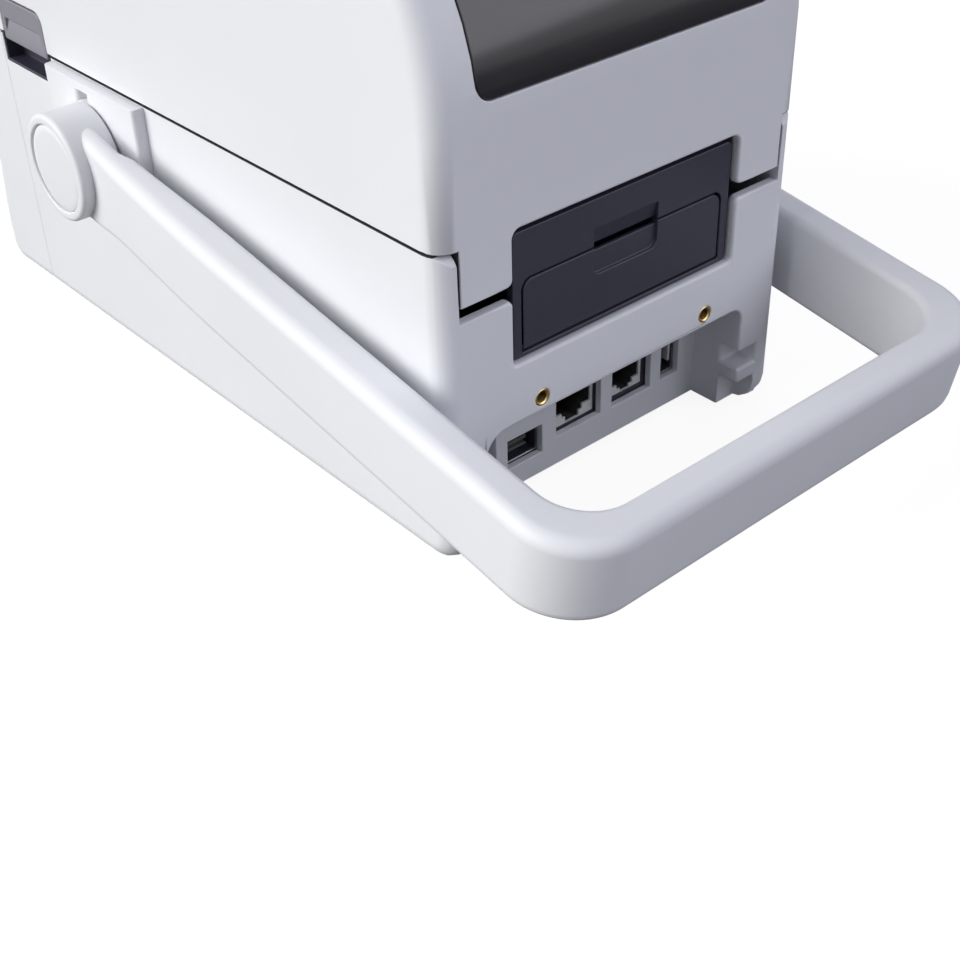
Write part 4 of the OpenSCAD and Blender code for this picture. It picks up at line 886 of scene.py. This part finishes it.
def threaded_insert(name, node_name):
    """A brass insert: a knurled band, a domed collar, and a real helical thread in its tarnished bore, whose
    brass is painted darker still as the shade in the bore.
    Bore radius at angle t and depth y: bore - crest + crest * |2 * frac(y / pitch + t / 2 pi) - 1|."""
    lo, hi = low(node_name), high(node_name)
    x, z, back, front = (lo[0] + hi[0]) / 2, (lo[2] + hi[2]) / 2, lo[1], hi[1]
    outer, bore, crest, pitch, sleeve = (hi[0] - lo[0]) / 2, 1.25 * MM, 0.22 * MM, 0.5 * MM, 0.24 * MM
    # The brass body's profile as (millimetres behind the front, radius), from its back out, forwards and in.
    behind, radius = np.array([
        (1.0, outer), (0.9, outer - 0.12 * MM), (0.75, outer - 0.12 * MM), (0.65, outer), (0.2, outer),
        (0.03, outer - 0.16 * MM), (0, outer - 0.35 * MM), (0.05, outer - 0.5 * MM), (0.25, bore + 0.25 * MM),
        (0.4, bore + 0.1 * MM), (0.45, bore + sleeve)]).T
    along = np.concatenate([[back], front - behind * MM, [back]])
    radius = np.concatenate([[outer], radius, [bore + sleeve]])
    steps, ridge = 96, 0.05 * MM
    t = np.linspace(0, 2 * pi, steps, endpoint=False)[:, None]
    knurl = ridge * np.cos(24 * t) * (along > front - 0.6 * MM) * (radius > outer - 0.1 * MM)
    r = radius + knurl - ridge * (knurl != 0)
    add_piece(name, *turned_about_y(np.broadcast_to(along, r.shape), r, x, z), finish("brass"), (node_name,))
    depth = np.linspace(front - 0.46 * MM, back + 0.1 * MM, 60)
    thread = bore - crest + crest * np.abs(2 * np.mod(depth / pitch + t / (2 * pi), 1) - 1)
    r = np.concatenate([thread, np.full((steps, 2), bore + 0.22 * MM)], 1)
    y = np.broadcast_to([*depth, depth[-1], depth[0]], r.shape)
    # The bore: brass with real tarnish, painted darker still as the shade inside the bore.
    add_piece(name + "_bore", *turned_about_y(y, r, x, z), finish("bore_brass_tarnish_and_shade"), (), "case", "brass")


class LABEL_PRINTER_OT_ports(bpy.types.Operator):
    """Jacks, power inlet, brass inserts and boards"""
    bl_idname = "label_printer.ports"
    bl_label = "Ports"

    def execute(self, context):
        modular_jack("lan_socket", 12.8 * MM, 8, 0.5 * MM)
        modular_jack("serial_socket", 12.8 * MM, 6, 1.1 * MM)
        usb_b_port()
        usb_a_port()
        for word in ("left", "right"):
            threaded_insert("threaded_insert_" + word, "insert_" + word)
        soften_all(("dc_inlet", "main_board", "board_standoffs"), 0.12 * MM)
        return {"FINISHED"}


# Inside and controls

class LABEL_PRINTER_OT_print_unit(bpy.types.Operator):
    """Platen, gears, motor, plates, tear bar and print head"""
    bl_idname = "label_printer.print_unit"
    bl_label = "Print unit"

    def execute(self, context):
        for name in (
                "plate_left", "plate_right", "platen_bushes", "platen_shaft", "platen_roller", "platen_gear",
                "idler_gear", "idler_axle", "motor_pinion", "stepper_motor", "tear_bar", "media_sensor",
                "head_bracket", "head_rod", "print_head"):
            soften_all([name], 0.08 * MM if "gear" in name or "pinion" in name else 0.15 * MM)
        softened("head_springs", finish("steel"), 0.01 * MM, 1, radians(80))
        return {"FINISHED"}


class LABEL_PRINTER_OT_roll_bay(bpy.types.Operator):
    """Roll bay with its guides, racks and pinion"""
    bl_idname = "label_printer.roll_bay"
    bl_label = "Roll bay"

    def execute(self, context):
        soften_all(("roll_bay", "guide_rail", "guide_left", "guide_right"), 0.2 * MM)
        soften_all(["guide_pinion"], 0.1 * MM)
        return {"FINISHED"}


class LABEL_PRINTER_OT_controls(bpy.types.Operator):
    """Control panel, buttons, status lenses and their board"""
    bl_idname = "label_printer.controls"
    bl_label = "Controls"

    def execute(self, context):
        buttons = "power_button", "feed_button", "menu_button"
        soften_all(("control_panel", "status_lenses", "control_board", *buttons), 0.25 * MM)
        return {"FINISHED"}


# Stage

# Where the photograph's perspective puts the camera: its place in metres, its view, its right and its roll.
CAMERA_AT = (0.21986, 0.28859, 0.22056)
CAMERA_FORWARD, CAMERA_RIGHT = np.array([-0.5187, -0.6203, -0.5883]), np.array([-0.7672, 0.6414, 0.0])
CAMERA_ROLL = radians(-1.94)


def add_camera(context, focal):
    forward = CAMERA_FORWARD / np.linalg.norm(CAMERA_FORWARD)
    level_up = np.cross(CAMERA_RIGHT, forward)
    right = cos(CAMERA_ROLL) * CAMERA_RIGHT + sin(CAMERA_ROLL) * level_up
    up = cos(CAMERA_ROLL) * level_up - sin(CAMERA_ROLL) * CAMERA_RIGHT
    lens = bpy.data.cameras.new("camera")
    lens.sensor_width = 36
    lens.lens = focal
    lens.clip_start = 0.01
    camera = add_object("camera", lens)
    turn = Matrix([(right[k], up[k], -forward[k]) for k in range(3)]).to_4x4()
    camera.matrix_world = Matrix.Translation(CAMERA_AT) @ turn
    context.scene.camera = camera


def add_sun(name, energy, colour, toward):
    """A soft light, as broad as a near softbox, from a direction."""
    sun = bpy.data.lights.new(name, "SUN")
    sun.energy = energy
    sun.angle = radians(50)
    sun.color = colour
    add_object(name, sun).rotation_euler = Vector(toward).to_track_quat("Z", "Y").to_euler()


def add_backdrop(context, fill_light):
    """A backdrop that is white to the camera, in reflections and through the window, and lights the rest
    dimly with a cooler tint."""
    world = bpy.data.worlds.new("studio")
    context.scene.world = world
    world.use_nodes = True
    tree = world.node_tree
    tree.nodes.clear()
    out = tree.nodes.new("ShaderNodeOutputWorld")
    sky = tree.nodes.new("ShaderNodeBackground")
    rays = tree.nodes.new("ShaderNodeLightPath").outputs
    seen = maths(tree, "MAXIMUM", rays["Is Camera Ray"], rays["Is Glossy Ray"])
    seen = maths(tree, "MAXIMUM", seen, rays["Is Transmission Ray"])
    tree.links.new(span(tree, seen, fill_light, 1.0), sky.inputs["Strength"])
    tree.links.new(blend(tree, seen, (1, 1.015, 1.17, 1), (1, 1, 1, 1)), sky.inputs["Color"])
    tree.links.new(sky.outputs[0], out.inputs[0])


def add_floor(colour):
    """A matt grey floor that glows for the camera alone, so that it is white but for a faint shadow."""
    half, lines = 6.0, 9
    t = np.linspace(-half, half, lines)
    x, y = np.meshgrid(t, t, indexing="ij")
    verts = np.stack([x, y, np.zeros_like(x)], -1).reshape(-1, 3)
    mesh = bpy.data.meshes.new("floor")
    mesh.from_pydata(verts.tolist(), [], grid_faces(lines, lines)[:, ::-1].tolist())
    material, tree, skin = shader("studio_floor")
    c = np.array(colour)
    cloud = noise(tree, 3.0, 2.0)
    tree.links.new(ramp(tree, cloud, [(0.3, c * 0.99), (0.7, c)]), skin.inputs["Base Color"])
    skin.inputs["Roughness"].default_value = 0.9
    skin.inputs["Specular IOR Level"].default_value = 0.1
    rays = tree.nodes.new("ShaderNodeLightPath").outputs
    tree.links.new(span(tree, rays["Is Camera Ray"], 0.0, 0.9), skin.inputs["Emission Strength"])
    skin.inputs["Emission Color"].default_value = (1, 1, 1, 1)
    mesh.materials.append(material)
    add_object("floor", mesh)


class LABEL_PRINTER_OT_stage(bpy.types.Operator):
    """Camera, lights, floor and backdrop"""
    bl_idname = "label_printer.stage"
    bl_label = "Stage"

    def execute(self, context):
        values = context.scene.label_printer_stage
        add_camera(context, values.focal)
        # One light from the printer's right and above, and a weaker one from its left, behind it.
        add_sun("key_light", values.key_light, (1, 1, 0.98), (0.85, -0.34, 0.42))
        add_sun("back_light", values.back_light, (0.87, 0.88, 1), (-0.42, 0.78, 0.46))
        add_backdrop(context, values.fill_light)
        add_floor(values.floor_colour)
        context.scene.view_settings.view_transform = "Standard"
        return {"FINISHED"}


# Add-on

OPERATORS = (
    LABEL_PRINTER_OT_stage, LABEL_PRINTER_OT_case, LABEL_PRINTER_OT_cover, LABEL_PRINTER_OT_bail,
    LABEL_PRINTER_OT_levers, LABEL_PRINTER_OT_rear_door, LABEL_PRINTER_OT_ports, LABEL_PRINTER_OT_print_unit,
    LABEL_PRINTER_OT_roll_bay, LABEL_PRINTER_OT_controls,
)

GROUPS = {
    "label_printer_finishes": PrinterFinishes,
    "label_printer_shapes": PrinterShapes,
    "label_printer_stage": PrinterStage,
}


class LABEL_PRINTER_PT_panel(bpy.types.Panel):
    """Lists the printer's pieces and the values behind them"""
    bl_label = "Label printer"
    bl_idname = "LABEL_PRINTER_PT_panel"
    bl_space_type = "VIEW_3D"
    bl_region_type = "UI"
    bl_category = "Label printer"

    def draw(self, context):
        for group in GROUPS:
            box = self.layout.box()
            values = getattr(context.scene, group)
            for key in values.__annotations__:
                box.prop(values, key)
        for operator in OPERATORS:
            self.layout.operator(operator.bl_idname)


def register():
    for kind in (*GROUPS.values(), *OPERATORS, LABEL_PRINTER_PT_panel):
        bpy.utils.register_class(kind)
    for key, kind in GROUPS.items():
        setattr(bpy.types.Scene, key, bpy.props.PointerProperty(type=kind))


def unregister():
    for key in GROUPS:
        delattr(bpy.types.Scene, key)
    for kind in (LABEL_PRINTER_PT_panel, *reversed(OPERATORS), *reversed(GROUPS.values())):
        bpy.utils.unregister_class(kind)


def main():
    register()
    for operator in OPERATORS:
        group, name = operator.bl_idname.split(".")
        if "FINISHED" not in getattr(getattr(bpy.ops, group), name)():
            raise RuntimeError("The operator " + operator.bl_idname + " didn't finish")


if __name__ == "__main__":
    main()
